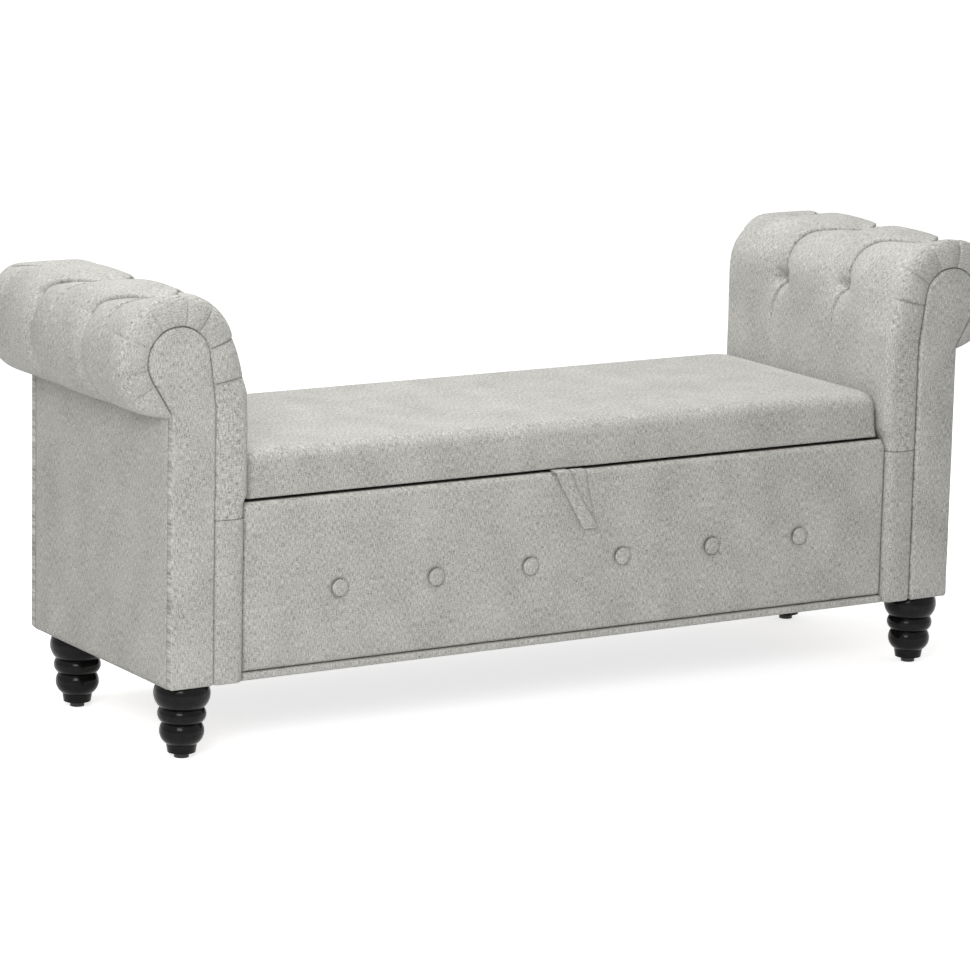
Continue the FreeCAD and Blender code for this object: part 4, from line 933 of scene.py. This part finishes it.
def make_box_lining():
    """Cloth on the floor and walls of the box."""
    low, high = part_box("box_lining")
    _, block_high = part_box("corner_blocks")
    bracket_low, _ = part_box("strut_box_brackets")
    rail_low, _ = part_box("hinge_rail")
    thick, block_side = 1 * MM, 30 * MM
    half = block_high.x - block_side - CLEAR
    ends = (low.y + block_side + CLEAR, bracket_low.y - thick)
    across, upright = (-half, half), (low.z, high.z)
    walls = {
        "floor": (across, (low.y + thick + CLEAR, high.y - thick - CLEAR), "storage_floor",
                  lambda u, v, out: (u, v, low.z + out)),
        "front": (across, upright, "front_panel_board", lambda u, v, out: (u, low.y + out, v)),
        "rear": (across, (low.z, rail_low.z - CLEAR), "rear_panel_board",
                 lambda u, v, out: (u, high.y - out, v)),
        "right": (ends, upright, "box_end_panels", lambda u, v, out: (high.x - out, u, v)),
        "left": (ends, upright, "box_end_panels", lambda u, v, out: (low.x + out, u, v)),
    }
    for seed, (name, (along, up, board, place)) in enumerate(walls.items(), start=70):
        cloth_panel(f"box_lining_{name}", along, up, place, thick * 0.8, 10 * MM, seed, board,
                    unevenness=0.3 * MM, replaces=["box_lining"], **LINING)


def make_box():
    make_front_pad()
    # the rim cloth is black lining, and its black also stands in for the shade in the slit under the lid:
    # painted shade
    make_rim_cloth_as_slit_shade()
    make_buttons()
    make_base_strip()
    make_rear_cover()
    make_flat_lining("dust_cloth", "dust_cover", 9 * MM, 61, "floor_bearers", 0.3 * MM)
    make_box_lining()
    make_flat_lining("lid_lining_cloth", "lid_lining", 9 * MM, 81, "lid_board", 0.2 * MM, body="lid")


# ---- Lid ----

def rounded_rectangle(half_x, front, rear, radius, count):
    """A closed loop round the seat with round corners; every such loop has the same steps."""
    corners = [(half_x - radius, rear - radius, 0), (-half_x + radius, rear - radius, 90),
               (-half_x + radius, front + radius, 180), (half_x - radius, front + radius, 270)]
    loop = []
    for index, (x, y, first) in enumerate(corners):
        bend = arc((x, y), radius, first, first + 90, 11)
        next_x, next_y, angle = corners[(index + 1) % 4]
        stop = arc((next_x, next_y), radius, angle, angle, 1)[0]
        steps = count[index % 2]
        loop += [bend, bend[-1] + (stop - bend[-1]) * np.linspace(0, 1, steps + 1)[1:-1, None]]
    return np.concatenate(loop)


def make_seat():
    """The seat cushion: a boxed pad wrapped over the lid board, crowned by its filling."""
    board_low, board_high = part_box("lid_board")
    half, front, rear = SEAT_HIGH.x - 0.4 * MM, SEAT_LOW.y + 1.5 * MM, SEAT_HIGH.y - 0.6 * MM
    low, top = SEAT_LOW.z, SEAT_HIGH.z - 4 * MM
    edge = 22 * MM
    count = (150, 52)        # steps along the long sides and along the short ones

    def loop_at(half_x, first_y, last_y, corner, z):
        loop = rounded_rectangle(half_x, first_y, last_y, corner, count)
        return np.column_stack([loop, np.full(len(loop), z)])

    def ring(inset, corner, z):
        return loop_at(half - inset, front + inset, rear - inset, corner, z)

    def on_board(gap, z):
        return loop_at(board_high.x + gap, board_low.y - gap, board_high.y + gap, 1 * MM, z)

    start = on_board(CLEAR, board_high.z + CLEAR)
    heart = start.copy()
    heart[:, 0] = np.clip(start[:, 0], -0.35, 0.35)
    heart[:, 1] = (front + rear) / 2
    grid = [start + (heart - start) * 0.97, start + (heart - start) * 0.5, start,
            on_board(CLEAR, low + 1 * MM), on_board(1.4 * MM, low + 0.2 * MM),
            ring(1 * MM, 7 * MM, low + 0.4 * MM), ring(0, 8 * MM, low + 2.5 * MM)]
    held = len(grid)
    side_top = top - edge
    for z in np.linspace(low + 2.5 * MM, side_top, 11)[1:]:
        grid.append(ring(0, (8 + 10 * (z - low) / (side_top - low)) * MM, z))
    for turn in np.radians(np.linspace(0, 90, 9))[1:]:
        inset = edge * (1 - cos(turn))
        grid.append(ring(inset, 18 * MM + 0.4 * inset, side_top + edge * sin(turn)))
    flat = grid[-1]
    heart[:, 2] = top
    for share in np.linspace(0, 0.985, 28)[1:]:
        grid.append(flat + (heart - flat) * share)
    grid = np.asarray(grid)
    inward = eased((side_top + edge * 0.5 - grid[..., 2]) / (30 * MM))
    slack = ripple(grid[..., 0], grid[..., 1] + grid[..., 2], 0.8 * MM, 91)
    grid[held:, :, 1] += (slack * inward)[held:] * np.where(grid[held:, :, 1] < 0, 1, -1) * 0.5
    piece = mesh_piece("seat_cushion_cover", grid.reshape(-1, 3), tube_faces(*grid.shape[:2]), body="lid",
                       replaces=["seat_cushion"])
    inflate(piece, held, grid.shape[:2], pressure=4.0, caps=np.array([0.3, 1.5, 7]) * MM, frames=12)
    return piece


TOO_FINE = 20


def inflate(piece, held, shape, pressure, caps, frames):
    """Blow a closed piece of rings up as cloth.

    Its first rings are held, and the last ones, too fine for the cloth, follow the last broad one.
    """
    mesh = piece.data
    before = np.zeros(len(mesh.vertices) * 3)
    mesh.vertices.foreach_get("co", before)
    pins = piece.vertex_groups.new(name="held")
    pins.add(list(range(held * shape[1])), 1.0, "REPLACE")
    cloth = piece.modifiers.new("cloth", "CLOTH")
    cloth.point_cache.frame_start, cloth.point_cache.frame_end = 1, frames
    settings = cloth.settings
    settings.vertex_group_mass = pins.name
    settings.use_pressure = True
    settings.uniform_pressure_force = pressure
    settings.effector_weights.gravity = 0
    settings.tension_stiffness = settings.compression_stiffness = 15
    settings.bending_stiffness = 0.6
    scene = bpy.context.scene
    for frame_number in range(1, frames + 1):
        scene.frame_set(frame_number)
    posed = piece.evaluated_get(bpy.context.evaluated_depsgraph_get())
    after = np.zeros(before.size)
    posed.data.vertices.foreach_get("co", after)
    moved = (after - before).reshape(-1, 3)
    moved = (caps * np.tanh(moved / caps)).reshape(*shape, 3)
    broad = shape[0] - 1 - TOO_FINE
    moved[broad] = np.mean([np.roll(moved[broad], turn, axis=0) for turn in range(-6, 7)], axis=0)
    for ring in range(broad, shape[0]):
        share = eased((ring - broad) / TOO_FINE)
        moved[ring] = moved[broad] * (1 - share) + moved[broad].mean(axis=0) * share
    piece.modifiers.remove(cloth)
    piece.vertex_groups.remove(pins)
    mesh.vertices.foreach_set("co", before + moved.ravel())
    mesh.update()
    scene.frame_set(1)


def ribbon(path, half_width, half_thickness):
    """Rows round a flat ribbon whose width lies along X."""
    along = np.gradient(path, axis=0)
    face_way = np.cross(along, (1.0, 0, 0))
    face_way /= np.linalg.norm(face_way, axis=1, keepdims=True)
    profile = [(-1, 0), (-0.96, 0.9), (-0.6, 1), (0, 1.12), (0.6, 1), (0.96, 0.9), (1, 0), (0.96, -0.9),
               (0.6, -1), (0, -1.12), (-0.6, -1), (-0.96, -0.9)]
    side_way = np.array([1.0, 0, 0])
    return np.asarray([
        [point + side_way * wide * across + face * off * half_thickness for across, off in profile]
        for point, wide, face in zip(path, half_width, face_way)])


def make_strap():
    """The lid's pull: one doubled ribbon whose two ends lie side by side under the lid."""
    low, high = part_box("pull_strap")
    width, thick, space = 25 * MM, 1.3 * MM, 4 * MM
    left = low.x + width / 2
    right = left + width + space
    fold = high.x - width / 2
    top = high.z - thick
    back, front = high.y - 10.2 * MM - thick / 2, low.y + thick / 2
    bottom = low.z + 3 * MM

    def hanging(start, y, bulge, shares):
        """One leg of the loop, from under the lid down to the fold, a little slack."""
        return [(start + (fold - start) * share ** 1.08, y - bulge * sin(pi * share),
                 top + (bottom - top) * share) for share in shares]

    down, up = np.linspace(0, 1, 26), np.linspace(1, 0, 26)
    middle, reach = (back + front) / 2, (back - front) / 2
    turn = [(fold, middle + reach * cos(angle), bottom - reach * 0.6 * sin(angle))
            for angle in np.linspace(pi, 0, 11)[1:-1]]
    path = ([(left, high.y, top + thick), (left, high.y - 8 * MM, top + thick)]
            + hanging(left, front, -1.8 * MM, down) + turn + hanging(right, back, 0.5 * MM, up)
            + [(right, high.y - 4 * MM, top), (right, high.y, top)])
    path = np.asarray(path)
    drop = np.clip((top - path[:, 2]) / (top - bottom), 0, 1)
    half_width = width / 2 * (1 - 0.10 * np.sin(np.pi * drop) ** 2)
    grid = ribbon(path, half_width, thick / 2)
    run = travelled(path)
    weave = np.stack(np.meshgrid(np.linspace(0, 2 * width, grid.shape[1]), run), axis=-1)
    piece = closed_tube("lid_pull_ribbon", grid, weave, body="pull_strap", replaces=["pull_strap"])
    return piece


# ---- Hard pieces ----

def dress_hard_pieces():
    """Finishes of the CAD pieces that show as they are, chosen by words in their names."""
    finishes = [
        (timber("plywood", (0.62, 0.47, 0.30), (0.48, 0.34, 0.20), 7, (1, 6, 14)),
         ("_rib", "inner_board", "lid_board", "panel_board", "box_end_panels", "storage_floor")),
        (timber("hardboard", (0.34, 0.22, 0.13), (0.25, 0.155, 0.09), 60, (1, 1, 1)),
         ("outer_board", "roll_former")),
        (timber("pine", (0.66, 0.50, 0.32), (0.50, 0.35, 0.20), 9, (1, 9, 9)),
         ("_rails", "_leg_board", "hinge_rail", "bearers", "corner_blocks")),
        (lacquer(), ("leg_front", "leg_rear")),
        (moulded("glide_plastic", (0.02, 0.02, 0.02), 0.5), ("glides",)),
        (moulded("rubber", (0.03, 0.03, 0.03), 0.85), ("bumpers",)),
        (metal("black_painted_steel", (0.035, 0.035, 0.036), 0.45, metallic=0.0), ("_cylinder",)),
        (metal("chrome_rod", (0.78, 0.78, 0.79), 0.10), ("_rod", "hinge_pins")),
    ]
    zinc = metal("zinc_steel", (0.62, 0.62, 0.60), 0.32)
    for name, node in NODES.items():
        chosen = next((finish for finish, words in finishes if any(word in name for word in words)), zinc)
        node.data.materials.clear()
        node.data.materials.append(chosen)


# ---- Stage ----

CAMERA_PLACE = Vector((-3.480, -5.536, 1.618))
CAMERA_TURN, CAMERA_TILT, CAMERA_ROLL = (radians(angle) for angle in (-31.923, 11.417, 1.27))
CAMERA_LENS = 165.8


def make_camera():
    data = bpy.data.cameras.new("camera")
    data.lens = CAMERA_LENS
    data.sensor_width = 36
    data.clip_end = 100
    camera = in_scene("camera", data)
    camera.matrix_world = (Matrix.Translation(CAMERA_PLACE) @ Matrix.Rotation(CAMERA_TURN, 4, "Z")
                           @ Matrix.Rotation(pi / 2 - CAMERA_TILT, 4, "X")
                           @ Matrix.Rotation(CAMERA_ROLL, 4, "Z"))
    bpy.context.scene.camera = camera


def make_lamp(name, place, target, size, power):
    data = bpy.data.lights.new(name, "AREA")
    data.shape = "RECTANGLE"
    data.size, data.size_y = size
    data.energy = power
    lamp = in_scene(name, data)
    lamp.location = place
    lamp.rotation_euler = (Vector(target) - Vector(place)).to_track_quat("-Z", "Y").to_euler()


def make_lights():
    make_lamp("key", (-2.5, -2.5, 2.0), (-0.2, 0, 0.35), (1.4, 1.2), 57)
    make_lamp("overhead", (-0.25, 0.1, 2.6), (-0.1, 0, 0.3), (2.4, 1.6), 49)


def seen_directly(tree):
    """1 for rays from the camera and from mirrors, and 0 for the light that falls on the bench."""
    path = add(tree, "ShaderNodeLightPath").outputs
    mirrored = sums(tree, "MAXIMUM", path["Is Glossy Ray"], path["Is Transmission Ray"])
    return sums(tree, "MAXIMUM", path["Is Camera Ray"], mirrored)


def make_world():
    """Soft light from all round; straight ahead, and in mirrors, the world is plain white."""
    world = bpy.data.worlds.new("world")
    bpy.context.scene.world = world
    world.use_nodes = True
    tree = world.node_tree
    ambient = tree.nodes["Background"]
    feed(tree, ambient, {"Color": (1, 1, 1, 1), "Strength": 0.34})
    white = add(tree, "ShaderNodeBackground", {"Color": (1, 1, 1, 1), "Strength": 1.0})
    inputs = {0: seen_directly(tree), 1: ambient.outputs[0], 2: white.outputs[0]}
    mixed = add(tree, "ShaderNodeMixShader", inputs)
    feed(tree, tree.nodes["World Output"], {"Surface": mixed.outputs[0]})


def make_floor():
    """A pale floor that keeps the bench's soft shadow and is otherwise white to the camera."""
    half = 30
    mesh = bpy.data.meshes.new("floor")
    corners = [(-half, -half, 0), (half, -half, 0), (half, half, 0), (-half, half, 0)]
    mesh.from_pydata(corners, [], [(0, 1, 2, 3)])
    floor = in_scene("floor", mesh)
    material, tree, shader = new_material("floor")
    speckle = noise_of(tree, place_of(tree), scale=60)
    feed(tree, shader, {"Base Color": ramp(tree, speckle, (0.3, (0.88,) * 3), (0.7, (0.90,) * 3)),
                        "Roughness": 0.9, "Specular IOR Level": 0.0})
    glow = add(tree, "ShaderNodeEmission", {"Strength": sums(tree, "MULTIPLY", seen_directly(tree), 0.74)})
    both = add(tree, "ShaderNodeAddShader", {0: shader.outputs[0], 1: glow.outputs[0]})
    feed(tree, tree.nodes["Material Output"], {"Surface": both.outputs[0]})
    mesh.materials.append(material)


# ---- The bench ----

dress_hard_pieces()
make_arms()
make_box()
make_seat()
make_strap()
make_camera()
make_lights()
make_world()
make_floor()
bpy.context.scene.view_settings.view_transform = "Standard"
